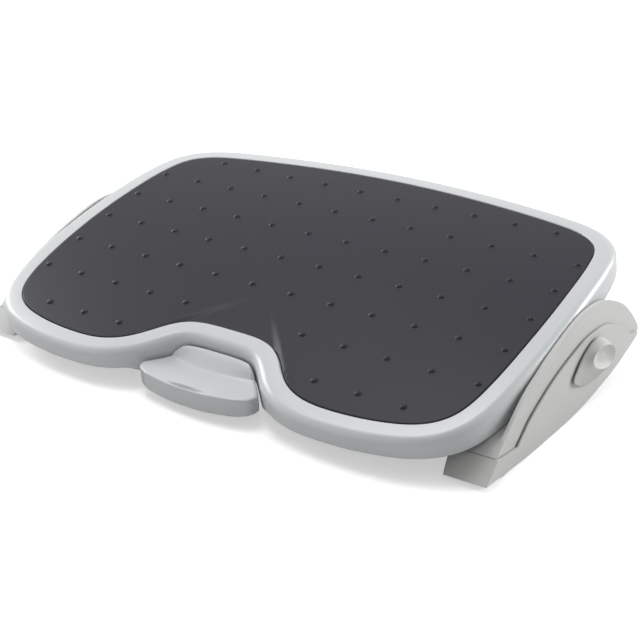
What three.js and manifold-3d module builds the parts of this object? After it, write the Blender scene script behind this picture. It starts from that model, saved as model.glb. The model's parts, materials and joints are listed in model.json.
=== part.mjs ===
// Under desk footrest: a matted platform that tilts on two side arms.
// The arms swing between two cheeks to set the height.
// Millimetres, +X to the right, +Y to the back, +Z up. The toes and the foot pedal are at the front.
import * as THREE from 'three';
import { mergeVertices } from 'three/addons/utils/BufferGeometryUtils.js';
import { ConvexGeometry } from 'three/addons/geometries/ConvexGeometry.js';
import Module from 'manifold-3d';

const wasm = await Module();
wasm.setup();

// Clearances that more than one piece follows
const degree = Math.PI / 180;
const seatGap = 0.3;
const runGap = 0.15;
const overrun = 4;

// Posture at the lowest setting, seen from the side with the pivot rod as the origin of y
const restTilt = 14.3 * degree;
const pivotHeight = 43;
const rimAbovePivot = 23.8;
const pivotBehindCentre = 27.3;

// Mat: an outline with two front lobes and a notch, over an arch from front to back
const matHalfWidth = 243.6;
const matBackDepth = 168;
const matFrontDepth = 158.5;
const matThickness = 3.5;
const matEdgeRound = 1;
const archRadius = 1440;
const archStep = 45;
const matOutlineShares = [
  [0, 1], [0.155, 0.995], [0.305, 0.98], [0.435, 0.96], [0.55, 0.937], [0.66, 0.911], [0.772, 0.878],
  [0.846, 0.848], [0.903, 0.802], [0.941, 0.747], [0.961, 0.69], [0.972, 0.613], [0.984, 0.488],
  [0.994, 0.274], [1, 0.04], [0.999, -0.17], [0.994, -0.391], [0.984, -0.568], [0.971, -0.694],
  [0.948, -0.801], [0.908, -0.877], [0.85, -0.93], [0.772, -0.965], [0.665, -0.991], [0.562, -1],
  [0.48, -0.996], [0.42, -0.977], [0.367, -0.94], [0.32, -0.886], [0.279, -0.82], [0.238, -0.752],
  [0.19, -0.7], [0.131, -0.676], [0.066, -0.669], [0, -0.669],
];
const edgeSamplesPerSpan = 1;
const curveSamplesPerSpan = 2;

// Domes on the mat, in a lattice with the corners and the notch left out
const domePitchAcross = 42;
const domePitchAlong = 44.9;
const domeRadius = 3.9;
const domeTopRadius = 1.7;
const domeHeight = 1.5;
const domeRoot = 0.8;
const domeSides = 5;
const domeRows = [
  { row: 3, from: 0.5, to: 4.5 }, { row: 2, from: 0.5, to: 5.5 }, { row: 1, from: 0.5, to: 5.5 },
  { row: 0, from: 0.5, to: 5.5 }, { row: -1, from: 0.5, to: 5.5 }, { row: -2, from: 1.5, to: 5.5 },
  { row: -3, from: 2.5, to: 4.5 },
];

// Dished place of the mat at the notch
const dishApexDepth = 59;
const dishApexHalfWidth = 8;
const dishFarDepth = 125;
const dishFarHalfWidth = 73;
const dishSideSlope = 9;
const dishFarFall = 2.8;

// Platform moulding
const rimWidth = 19.5;
const rimRound = 7;
const rimProud = 0.3;
const rimCrown = 0.4;
const lipRound = 1.2;
const rimDepth = 27;
const shellWall = 3;
const deckThickness = 2.7;
const matGap = 0.4;
const ribThickness = 2.4;
const ribFoot = 22;
const crossRibPlaces = [-62, 30, 118];
const crossRibHalfLength = 226;

// Platform hinge, in the platform's own plane: distances forward of the mat's centre and below its surface
const hingeForward = 155;
const hingeBelow = 21;
const hingePinRadius = 2.5;
const hingePlace = 185;
const hingeLugHalfDepth = 5;
const quadrantThickness = 3;
const lugThickness = 3;
const lugGap = 3;
const toothRadius = 40;
const toothDepth = 1.8;
const toothCount = 7;
const toothStep = 3.925 * degree;
const quadrantNose = 4.6;
const firstToothAngle = -16 * degree;

// Lock bar and pawls
const lockForward = 107;
const lockBelow = 16;
const lockRadius = 2.5;
const lockHalfLength = 202;
const lockLugPlaces = [42, 197.5];
const crankHalfWidth = 8;
const crankLength = 9;
const crankThickness = 3;
const pawlHub = 4.6;
const pawlTipForward = 114.6;
const pawlTipBelow = 25.4;
const pawlTipWidth = 2.4;
const springRadius = 4.1;
const springWire = 0.9;
const springTurns = 4;
const springPitch = 1.6;
const springPlace = 24;
const springStepsPerTurn = 8;
const wireSides = 5;

// Pedal, in the platform's plane
const pedalHalfWidth = 61;
const pedalReach = 181;
const pedalSkirtBelow = 34;
const pedalBackTopBelow = 13;
const pedalTreadBelow = 21.4;
const pedalGap = 1.8;
const pedalWall = 2.6;
const pedalEdgeRound = 4;
const pedalBackHalfWidth = 37;
const pedalBackDepth = 131;
const treadBackHalfWidth = 49;
const treadBackDepth = 148;
const pedalBowShares = [
  [0, 1], [0.25, 0.997], [0.48, 0.985], [0.68, 0.965], [0.84, 0.94], [0.95, 0.912], [1, 0.875], [1, 0.82],
];
const scoopShares = [1, 0.72, 0.36, 0, -0.36, -0.72, -1];
const pedalPinForward = 118;
const pedalPinBelow = 22;
const pedalPinRadius = 2;
const pedalPinHalfLength = 25;
const pedalKnuckle = 4;
const pedalNeckHalfWidth = 16;
const pedalNeckThickness = 7;
const pedalNeckRise = 4;
const windowGap = 1.5;
const pedalTongueHalfWidth = 9;
const pedalTongueBack = 98.5;
const pedalTongueThickness = 3;
const pedalPadDepth = 2.2;

// Side arms, as a channel open downwards whose outer plate stands beside the rim
const sideGap = 0.5;
const armPlate = 3;
const slideGap = 0.3;
const armInnerPlace = 231;
const armWeb = 2.6;
const webGap = 1;
const webBack = 55;
const armFrontReach = 178;
const armRearReach = 106.7;
const armCrest = 90.2;
const toeSlope = 39.7 * degree;
const armTopShares = [
  [-0.665, 0.582], [-0.6, 0.654], [-0.522, 0.72], [-0.454, 0.779], [-0.371, 0.838], [-0.291, 0.889],
  [-0.209, 0.938], [-0.118, 0.98], [-0.017, 1],
];
const armRearShares = [
  [0.131, 0.989], [0.26, 0.96], [0.395, 0.907], [0.525, 0.838], [0.653, 0.756], [0.74, 0.69],
  [0.816, 0.62], [0.89, 0.547], [0.946, 0.477], [0.984, 0.421], [1, 0.378], [0.99, 0.345],
  [0.94, 0.325], [0.787, 0.31], [0.553, 0.277], [0.366, 0.288], [0.141, 0.3],
];
const armHiddenShares = [[-0.096, 0.3], [-0.202, 0.366], [-0.343, 0.377], [-0.483, 0.322], [-0.596, 0.255]];
const hubRadius = 11;
const bushWall = 2;

// Cheeks: a trough with a tall outer plate, a low inner plate and a wedge toe under the arm's front end
const cheekPlate = 2.8;
const cheekInnerPlace = 226;
const cheekInnerPlate = 3;
const cheekFrontReach = 177.8;
const cheekRearReach = 104.5;
const cheekCrest = 66.4;
const toeRearReach = 0.72 * cheekFrontReach;
const toeEnd = 0.703 * cheekFrontReach;
const toeShare = 0.8812;
const toeTipShare = 0.23;
const toeRearShare = 0.857;
const floorPlateEnd = 5;
const troughWall = 3;
const cheekFrontShares = [
  [-0.669, 0.354], [-0.618, 0.464], [-0.511, 0.619], [-0.371, 0.78], [-0.272, 0.863], [-0.153, 0.941],
  [-0.066, 0.988],
];
const cheekRearShares = [
  [0.077, 1], [0.273, 0.968], [0.447, 0.889], [0.636, 0.748], [0.781, 0.6], [0.9, 0.515], [0.98, 0.475],
  [1, 0.44], [0.982, 0.37], [0.919, 0.301], [0.812, 0.217], [0.699, 0.16], [0.583, 0.114],
  [0.421, 0.075], [0.253, 0.048], [0.086, 0.033],
];
const innerPlateShares = [
  [-0.97, 0.12], [-0.9, 0.21], [-0.7, 0.22], [-0.5, 0.31], [-0.34, 0.52], [-0.135, 0.86], [-0.056, 0.91],
];
const innerPlateRearShares = [
  [0.115, 0.91], [0.29, 0.78], [0.6, 0.52], [0.72, 0.4], [0.75, 0.2], [0.56, 0.08], [0.2, 0.04],
];

// Feet, rods, bars and fastenings
const footProud = 1;
const footRadius = 9;
const footStem = 2.6;
const footHead = 4.2;
const footHeadHeight = 2;
const frontFootReach = 0.788 * cheekFrontReach;
const rearFootReach = 12;
const pivotRodRadius = 4;
const spacerRadius = 7;
const washerRadius = 11;
const washerThickness = 1.4;
const frontBarBack = -0.579 * cheekFrontReach;
const frontBarHeight = 9.2;
const frontBarRadius = 4.8;
const rearBarBack = 58;
const rearBarHeight = 20;
const rearBarRadius = 6.5;
const yokeTubeBack = -0.768 * cheekFrontReach;
const yokeTubeBelowRim = 2.65;
const yokeTubeRadius = 5.3;
const yokeTubeBore = 3.6;
const screwRadius = 2;
const screwHeadRadius = 3.2;
const screwHeadHeight = 1.2;
const screwDepth = 12;
const bushFlange = 1;

// Clamp knobs
const knobFootGap = 0.4;
const knobHeight = 11;
const knobBack = 38;
const knobTall = 20;
const knobOutlineShares = [
  [-0.9, -0.27], [-0.76, 0.1], [-0.5, 0.5], [-0.12, 0.82], [0.28, 0.96], [0.62, 0.84], [0.86, 0.46],
  [0.96, -0.12], [0.86, -0.66], [0.56, -0.98], [0.1, -1], [-0.32, -0.84], [-0.72, -0.6],
];
const knobRimShares = [[0, 1], [0.5, 1], [0.84, 0.94], [0.97, 0.86], [1, 0.72]];
const dimpleRadius = 11;
const dimpleStretch = 1.5;
const dimpleDepth = 2.4;
const nutRadius = 7.2;
const nutHeight = 4.2;
const nutSides = 6;
const dimpleRings = 10;
const roundSides = 16;
const smallSides = 12;

// Widths that follow
const rimHalfWidth = matHalfWidth + rimWidth;
const armOuterLow = rimHalfWidth + sideGap;
const armOuterHigh = armOuterLow + armPlate;
const cheekOuterLow = armOuterHigh + slideGap;
const cheekOuterHigh = cheekOuterLow + cheekPlate;
const knobLow = cheekOuterHigh + knobFootGap;
const knobHigh = knobLow + knobHeight;
const cheekInnerHigh = cheekInnerPlace + cheekInnerPlate;
const armInnerHigh = armInnerPlace + armPlate;
const footAcross = (cheekInnerHigh + cheekOuterLow) / 2;

// Heights that follow, from where the rim's foot runs over the pivot in the side view
const rimOverPivot = pivotHeight + rimAbovePivot / Math.cos(restTilt);
const toeHeight = toeShare * (rimOverPivot - cheekFrontReach * Math.tan(restTilt));
const toeTipHeight = toeTipShare * toeHeight;
const toeRearHeight = toeRearShare * toeHeight;
const yokeTubeTop = rimOverPivot + yokeTubeBack * Math.tan(restTilt) - yokeTubeBelowRim;
const yokeTubeHeight = yokeTubeTop - yokeTubeRadius;

// Colours
const coolGrey = { color: 0xc9cdcf, roughness: 0.42, metalness: 0 };
const warmGrey = { color: 0xcbcbc9, roughness: 0.5, metalness: 0 };
const charcoal = { color: 0x3c3b41, roughness: 0.7, metalness: 0 };
const blackRubber = { color: 0x1c1c1e, roughness: 0.9, metalness: 0 };
const brightSteel = { color: 0xb4b6b8, roughness: 0.32, metalness: 1 };
const darkSteel = { color: 0x6d6f72, roughness: 0.4, metalness: 1 };
const nylon = { color: 0xe6e4dc, roughness: 0.5, metalness: 0 };

// Turns a drawing of the side view, y across and z up, with its depth along x
const sideways = new THREE.Matrix4().makeBasis(
  new THREE.Vector3(0, 1, 0),
  new THREE.Vector3(0, 0, 1),
  new THREE.Vector3(1, 0, 0),
);

function solidOf(geometry) {
  const bare = geometry.clone();
  bare.deleteAttribute('normal');
  bare.deleteAttribute('uv');
  const merged = mergeVertices(bare);
  const vertProperties = new Float32Array(merged.attributes.position.array);
  const triVerts = new Uint32Array(merged.index.array);
  return new wasm.Manifold(new wasm.Mesh({ numProp: 3, vertProperties, triVerts }));
}

function geometryOf(solid) {
  const mesh = solid.getMesh();
  const geometry = new THREE.BufferGeometry();
  geometry.setAttribute('position', new THREE.BufferAttribute(new Float32Array(mesh.vertProperties), 3));
  geometry.setIndex(new THREE.BufferAttribute(new Uint32Array(mesh.triVerts), 1));
  geometry.computeVertexNormals();
  return geometry;
}

function joined(...geometries) {
  return geometryOf(geometries.map(solidOf).reduce((whole, next) => whole.add(next)));
}

function cut(geometry, ...tools) {
  return geometryOf(tools.map(solidOf).reduce((whole, next) => whole.subtract(next), solidOf(geometry)));
}

function block(x, y, z) {
  const geometry = new THREE.BoxGeometry(x[1] - x[0], y[1] - y[0], z[1] - z[0]);
  return geometry.translate((x[0] + x[1]) / 2, (y[0] + y[1]) / 2, (z[0] + z[1]) / 2);
}

// A span of x on the right side, or its mirror image on the left
function span(side, low, high) {
  return side > 0 ? [low, high] : [-high, -low];
}

// A span that runs past both ends, for a tool that cuts right through
function widened(x) {
  return [x[0] - overrun, x[1] + overrun];
}

function rod(radius, x, y, z, sides = roundSides) {
  const geometry = new THREE.CylinderGeometry(radius, radius, x[1] - x[0], sides);
  return geometry.rotateZ(Math.PI / 2).translate((x[0] + x[1]) / 2, y, z);
}

// A plate cut to a side-view outline
function plate(outline, x) {
  const shape = new THREE.Shape(outline.map(([y, z]) => new THREE.Vector2(y, z)));
  const geometry = new THREE.ExtrudeGeometry(shape, { depth: x[1] - x[0], bevelEnabled: false });
  return geometry.applyMatrix4(sideways).translate(x[0], 0, 0);
}

// A closed skin over level rings with as many points each, from the top ring down to the lowest
function loft(rings, heights) {
  const count = rings[0].length;
  const position = rings.flatMap((ring, level) => ring.flatMap((spot) => [spot.x, spot.y, heights[level]]));
  const index = THREE.ShapeUtils.triangulateShape(rings[0], []).flat();
  for (let level = 0; level + 1 < rings.length; level += 1) {
    for (let i = 0; i < count; i += 1) {
      const here = level * count + i;
      const next = level * count + ((i + 1) % count);
      index.push(next, here, here + count, next, here + count, next + count);
    }
  }
  const last = (rings.length - 1) * count;
  for (const [a, b, c] of THREE.ShapeUtils.triangulateShape(rings.at(-1), [])) {
    index.push(last + a, last + c, last + b);
  }
  const geometry = new THREE.BufferGeometry();
  geometry.setAttribute('position', new THREE.Float32BufferAttribute(position, 3));
  geometry.setIndex(index);
  return geometry;
}

// The mat's edge, counter-clockwise from above, with its outward direction at each sample
function sampleMatEdge() {
  const half = matOutlineShares.map(([across, along]) =>
    new THREE.Vector3(across * matHalfWidth, along * (along > 0 ? matBackDepth : matFrontDepth), 0));
  const other = half.slice(1, -1).reverse().map((spot) => new THREE.Vector3(-spot.x, spot.y, 0));
  const round = new THREE.CatmullRomCurve3([...half, ...other].reverse(), true, 'centripetal');
  const count = (half.length + other.length) * edgeSamplesPerSpan;
  return Array.from({ length: count }, (unused, i) => {
    const spot = round.getPoint(i / count);
    const way = round.getTangent(i / count);
    return { spot: new THREE.Vector2(spot.x, spot.y), outward: new THREE.Vector2(way.y, -way.x) };
  });
}
const matEdge = sampleMatEdge();

function edgeRing(offset) {
  return matEdge.map(({ spot, outward }) => spot.clone().addScaledVector(outward, offset));
}

function edgeSolid(steps) {
  return loft(steps.map(([offset]) => edgeRing(offset)), steps.map(([, height]) => height));
}

function archDrop(y) {
  return -(y * y) / (2 * archRadius);
}

// Splits the triangles along level lines across the platform, then bends them over the arch
function arched(geometry) {
  const merged = mergeVertices(geometry);
  const source = merged.attributes.position;
  const points = Array.from({ length: source.count }, (unused, i) =>
    new THREE.Vector3().fromBufferAttribute(source, i));
  let faces = [];
  for (let i = 0; i < merged.index.count; i += 3) {
    faces.push([merged.index.getX(i), merged.index.getX(i + 1), merged.index.getX(i + 2)]);
  }
  const reach = Math.ceil((matBackDepth + rimWidth) / archStep) * archStep;
  for (let level = -reach; level <= reach; level += archStep) {
    faces = splitFaces(points, faces, level);
  }
  const bent = new THREE.BufferGeometry();
  bent.setAttribute('position', new THREE.Float32BufferAttribute(
    points.flatMap((spot) => [spot.x, spot.y, spot.z + archDrop(spot.y)]), 3));
  bent.setIndex(faces.flat());
  return bent;
}

function splitFaces(points, faces, level) {
  const made = new Map();
  const side = (index) => {
    const distance = points[index].y - level;
    return Math.abs(distance) < Number.EPSILON * archRadius ? 0 : Math.sign(distance);
  };
  const crossing = (a, b) => {
    const key = a < b ? `${a}_${b}` : `${b}_${a}`;
    if (!made.has(key)) {
      const share = (level - points[a].y) / (points[b].y - points[a].y);
      made.set(key, points.push(points[a].clone().lerp(points[b], share)) - 1);
    }
    return made.get(key);
  };
  return faces.flatMap((face) => {
    const back = [];
    const front = [];
    face.forEach((a, i) => {
      const b = face[(i + 1) % face.length];
      if (side(a) >= 0) {
        back.push(a);
      }
      if (side(a) <= 0) {
        front.push(a);
      }
      if (side(a) * side(b) < 0) {
        back.push(crossing(a, b));
        front.push(back.at(-1));
      }
    });
    if (!front.length || !back.length || face.every((index) => side(index) === 0)) {
      return [face];
    }
    return [back, front].flatMap((loop) =>
      loop.slice(2).map((last, i) => [loop[0], loop[i + 1], last]));
  });
}

// Platform moulding: rim, pocket for the mat, deck, ribs and lugs
function platformShell() {
  const pocket = matThickness + seatGap;
  const underDeck = pocket + deckThickness;
  const quarter = [0, 1, 2, 3].map((step) => (step * Math.PI) / 6);
  const shell = arched(edgeSolid([
    [matGap, -pocket],
    [matGap, rimProud - lipRound],
    [matGap + lipRound, rimProud],
    [rimWidth - rimRound, rimCrown],
    ...quarter.map((angle) => [
      rimWidth - rimRound + rimRound * Math.sin(angle),
      rimCrown - rimRound + rimRound * Math.cos(angle),
    ]).slice(1),
    [rimWidth, -rimDepth - overrun],
    [rimWidth - shellWall, -rimDepth - overrun],
    [rimWidth - shellWall, -rimRound - shellWall],
    [rimWidth - rimRound, -shellWall],
    [matGap + shellWall, -shellWall],
    [-matGap - lipRound, -underDeck],
  ]));
  const wide = rimHalfWidth + overrun;
  const long = matBackDepth + rimWidth + overrun;
  const below = block([-wide, wide], [-long, long], [-2 * rimDepth - overrun, -rimDepth]);
  const intoDeck = pocket + deckThickness / 2;

  const crossRib = (y) => block(
    [-crossRibHalfLength, crossRibHalfLength],
    [y - ribThickness / 2, y + ribThickness / 2],
    [-ribFoot, archDrop(y) - intoDeck],
  );
  const lug = (x, y, halfDepth, foot) => block(
    [x - lugThickness / 2, x + lugThickness / 2],
    [y - halfDepth, y + halfDepth],
    [-foot, archDrop(y) - intoDeck],
  );

  const lockLugHalf = lockRadius + 2 * springWire;
  const lugs = [];
  const bores = [];
  for (const side of [1, -1]) {
    for (const way of [1, -1]) {
      const x = side * hingePlace + way * (quadrantThickness / 2 + lugGap + lugThickness / 2);
      lugs.push(lug(x, -hingeForward, hingeLugHalfDepth, hingeBelow + hingeLugHalfDepth));
    }
    bores.push(rod(hingePinRadius + runGap, span(side, hingePlace - overrun * 3, hingePlace + overrun * 3),
      -hingeForward, -hingeBelow, smallSides));
    for (const place of lockLugPlaces) {
      lugs.push(lug(side * place, -lockForward, lockLugHalf, lockBelow + lockLugHalf));
    }
    const pinLug = side * (pedalPinHalfLength - lugThickness / 2);
    lugs.push(lug(pinLug, -pedalPinForward, pedalKnuckle, rimDepth - seatGap));
  }
  bores.push(rod(lockRadius + runGap, [-lockHalfLength - overrun, lockHalfLength + overrun],
    -lockForward, -lockBelow, smallSides));
  bores.push(rod(pedalPinRadius + runGap, [-pedalPinHalfLength - overrun, pedalPinHalfLength + overrun],
    -pedalPinForward, -pedalPinBelow, smallSides));

  const notchDepth = -matOutlineShares.at(-1)[1] * matFrontDepth;
  const windowHalf = pedalNeckHalfWidth + windowGap;
  const neckTop = pedalPinBelow - pedalNeckRise - windowGap;
  const window = block(
    [-windowHalf, windowHalf],
    [-notchDepth - rimWidth - overrun, -notchDepth - rimWidth + shellWall + overrun / 2],
    [-rimDepth - overrun, -neckTop],
  );
  const ribbed = joined(shell, ...crossRibPlaces.map(crossRib), ...lugs);
  return cut(ribbed, below, window, ...bores);
}

// Mat with its dish and its domes
function footMat() {
  const flat = edgeSolid([[-matEdgeRound, 0], [0, -matEdgeRound], [0, -matThickness]]);
  const floorFar = dishFarHalfWidth - dishSideSlope;
  const dish = new ConvexGeometry([1, -1].flatMap((side) => [
    new THREE.Vector3(side * dishApexHalfWidth, -dishApexDepth, 0),
    new THREE.Vector3(side * dishApexHalfWidth, -dishApexDepth, overrun),
    new THREE.Vector3(side * dishFarHalfWidth, -dishFarDepth, 0),
    new THREE.Vector3(side * dishFarHalfWidth, -dishFarDepth, overrun),
    new THREE.Vector3(side * floorFar, -dishFarDepth, -dishFarFall),
  ]));
  const domes = domeRows.flatMap(({ row, from, to }) => {
    const y = row * domePitchAlong;
    const places = [];
    for (let column = from; column <= to; column += 1) {
      places.push(column, -column);
    }
    return places.map((column) => {
      const dome = new THREE.CylinderGeometry(domeTopRadius, domeRadius, domeHeight + domeRoot, domeSides);
      const middle = archDrop(y) + (domeHeight - domeRoot) / 2;
      return dome.rotateX(Math.PI / 2).translate(column * domePitchAcross, y, middle);
    });
  });
  return joined(arched(cut(flat, dish)), ...domes);
}

// Pedal: a scooped cap in front of the notch, with a neck to its pin and a tongue under the lock bar's crank
function pedalOutline(inset) {
  const half = pedalBowShares.map(([across, along]) => new THREE.Vector3(
    across * (pedalHalfWidth - inset), -along * (pedalReach - inset), 0));
  const other = half.slice(1).map((spot) => new THREE.Vector3(-spot.x, spot.y, 0)).reverse();
  const bow = new THREE.CatmullRomCurve3([...other, ...half], false, 'centripetal');
  const front = bow.getPoints((half.length + other.length - 1) * curveSamplesPerSpan);
  const backCorners = [1, -1].map((side) =>
    new THREE.Vector3(side * (pedalHalfWidth - inset), -pedalPinForward, 0));
  return [...front, ...backCorners].map((spot) => new THREE.Vector2(spot.x, spot.y));
}

function pedalCap(inset) {
  const level = pedalBackTopBelow + inset;
  const foot = pedalSkirtBelow + (inset ? overrun : 0);
  const tread = pedalTreadBelow + inset;
  const blank = loft(
    [inset + pedalEdgeRound, inset + pedalEdgeRound / 4, inset, inset].map(pedalOutline),
    [-level, -tread - pedalEdgeRound / 4, -tread - pedalEdgeRound, -foot],
  );
  const rimSpace = loft(
    [edgeRing(rimWidth + pedalGap + inset), edgeRing(rimWidth + pedalGap + inset)],
    [overrun, -foot - overrun],
  );
  const scoop = (halfWidth, depth) => {
    const arc = scoopShares.map((share) =>
      new THREE.Vector2(share * halfWidth, -depth + share * share * (1 - share * share) * (depth / 16)));
    const wide = pedalHalfWidth + overrun;
    const far = pedalReach + overrun;
    const front = [new THREE.Vector2(-wide, -far), new THREE.Vector2(wide, -far)];
    return [...front, new THREE.Vector2(wide, -depth), ...arc, new THREE.Vector2(-wide, -depth)];
  };
  const backScoop = scoop(pedalBackHalfWidth - inset, pedalBackDepth + inset);
  const treadScoop = scoop(treadBackHalfWidth - inset, treadBackDepth + inset);
  const hollow = loft([backScoop, backScoop, treadScoop], [overrun, -level, -tread]);
  return cut(blank, rimSpace, hollow);
}

function pedalBody() {
  const pinY = -pedalPinForward;
  const pinZ = -pedalPinBelow;
  const neckTop = pinZ + pedalNeckRise;
  const notchDepth = -matOutlineShares.at(-1)[1] * matFrontDepth;
  const capBack = -notchDepth - rimWidth - pedalGap - pedalWall / 2;
  const neckX = [-pedalNeckHalfWidth, pedalNeckHalfWidth];
  const neck = block(neckX, [capBack, pinY], [neckTop - pedalNeckThickness, neckTop]);
  const knuckle = rod(pedalKnuckle, neckX, pinY, pinZ);
  const tongueX = [-pedalTongueHalfWidth, pedalTongueHalfWidth];
  const padTop = -lockBelow - crankThickness / 2 - seatGap;
  const tongueTop = padTop - 0.8 * pedalTongueThickness;
  const tongueLow = tongueTop - pedalTongueThickness;
  const tongue = block(tongueX, [pinY, -pedalTongueBack], [tongueLow, tongueTop]);
  const pad = block(tongueX, [-pedalTongueBack - pedalPadDepth, -pedalTongueBack], [tongueLow, padTop]);
  const shell = cut(pedalCap(0), pedalCap(pedalWall));
  const bore = rod(pedalPinRadius + runGap, widened(neckX), pinY, pinZ, smallSides);
  return cut(joined(shell, neck, knuckle, tongue, pad), bore);
}

// Lock bar: a shaft with a crank that the pedal's tongue lifts
function lockBar() {
  const shaft = rod(lockRadius, [-lockHalfLength, lockHalfLength], -lockForward, -lockBelow, smallSides);
  const crank = block([-crankHalfWidth, crankHalfWidth], [-lockForward, -lockForward + crankLength],
    [-lockBelow - crankThickness / 2, -lockBelow + crankThickness / 2]);
  return joined(shaft, crank);
}

function lockPawl(side) {
  const x = span(side, hingePlace - quadrantThickness / 2, hingePlace + quadrantThickness / 2);
  const finger = plate([
    [-lockForward - pawlHub * 0.9, -lockBelow],
    [-pawlTipForward, -pawlTipBelow],
    [-pawlTipForward + pawlTipWidth, -pawlTipBelow],
    [-lockForward + pawlHub * 0.9, -lockBelow],
  ], x);
  const hub = rod(pawlHub, x, -lockForward, -lockBelow);
  return cut(joined(finger, hub), rod(lockRadius + runGap, widened(x), -lockForward, -lockBelow, smallSides));
}

// A torsion spring on the lock bar: one unbroken helix with straight ends
function lockSpring() {
  const turns = [];
  for (let i = 0; i <= springTurns * springStepsPerTurn; i += 1) {
    const angle = (i / springStepsPerTurn) * 2 * Math.PI;
    turns.push(new THREE.Vector3(
      springPlace + (i / springStepsPerTurn) * springPitch,
      -lockForward + springRadius * Math.cos(angle),
      -lockBelow + springRadius * Math.sin(angle),
    ));
  }
  const last = turns.at(-1);
  const leg = 2 * springRadius;
  const points = [
    new THREE.Vector3(springPlace, -lockForward + springRadius, -lockBelow - leg),
    new THREE.Vector3(springPlace, -lockForward + springRadius, -lockBelow - leg / 2),
    ...turns,
    new THREE.Vector3(last.x, last.y, last.z + leg / 4),
  ];
  const path = new THREE.CatmullRomCurve3(points, false, 'centripetal');
  const wire = new THREE.Shape(Array.from({ length: wireSides }, (unused, i) => {
    const angle = (i / wireSides) * 2 * Math.PI;
    return new THREE.Vector2(springWire / 2 * Math.cos(angle), springWire / 2 * Math.sin(angle));
  }));
  return new THREE.ExtrudeGeometry(wire, { steps: points.length, extrudePath: path });
}

// Where the rim's lower plane runs over the pivot, in the side view
function planeHeight(y, below) {
  return pivotHeight + (rimAbovePivot - below + y * Math.sin(restTilt)) / Math.cos(restTilt);
}

// The sloping front that the toe and the arm share
function frontSlope(z) {
  return -cheekFrontReach + (z - toeTipHeight) / Math.tan(toeSlope);
}

function toeTop(y) {
  const along = (y - frontSlope(toeHeight)) / (-toeRearReach - frontSlope(toeHeight));
  return toeHeight + along * (toeRearHeight - toeHeight);
}

function sideOutline(shares, front, rear, tall) {
  return shares.map(([back, up]) => [back * (back < 0 ? front : rear), up * tall]);
}

// Arm: outer plate with the band that shows, web under the rim, sloping front end, inner plate and hub
function sideArm(side) {
  const rest = slideGap + runGap;
  const webTop = (y) => planeHeight(y, webGap);
  const webLow = (y) => planeHeight(y, webGap + armWeb);
  const low = frontSlope(toeHeight + rest);
  const foot = [low, toeHeight + rest];
  const lean = toeSlope - restTilt;
  const corner = (below) => {
    const reach = (planeHeight(-cheekFrontReach, below) - toeTipHeight) * Math.cos(restTilt) / Math.sin(lean);
    return -cheekFrontReach + reach * Math.cos(toeSlope);
  };
  const frontEnd = corner(webGap);
  const heel = [-toeRearReach, toeRearHeight + rest];
  const bandShares = [...armTopShares, ...armRearShares, ...armHiddenShares];
  const band = plate([
    foot,
    ...sideOutline(bandShares, armFrontReach, armRearReach, armCrest),
    heel,
  ], span(side, armOuterLow, armOuterHigh));
  const channelX = span(side, armInnerPlace, armOuterHigh);
  const web = plate([
    foot,
    [frontEnd, webTop(frontEnd)],
    [webBack, webTop(webBack)],
    [webBack, webLow(webBack)],
    [corner(webGap + armWeb) + armPlate, webLow(corner(webGap + armWeb) + armPlate)],
    [low + armPlate * 1.5, toeTop(low + armPlate * 1.5) + rest],
  ], channelX);
  const inner = plate([
    foot,
    [frontEnd, webTop(frontEnd)],
    [hubRadius * 2.5, webTop(hubRadius * 2.5)],
    [hubRadius * 1.3, pivotHeight - hubRadius / 3],
    [0, pivotHeight - hubRadius * 1.2],
    [-hubRadius * 1.3, pivotHeight - hubRadius],
    [-armFrontReach / 2, toeHeight + hubRadius / 2],
    heel,
  ], span(side, armInnerPlace, armInnerHigh));
  const hub = rod(hubRadius, channelX, 0, pivotHeight);
  const bore = rod(pivotRodRadius + bushWall + 2 * runGap, widened(channelX), 0, pivotHeight);
  const screwX = span(side, armInnerPlace - overrun, armInnerHigh + overrun / 2);
  const screwWay = rod(screwRadius + runGap, screwX, yokeTubeBack, yokeTubeHeight, smallSides);
  return cut(joined(band, web, inner, hub), bore, screwWay);
}

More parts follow.
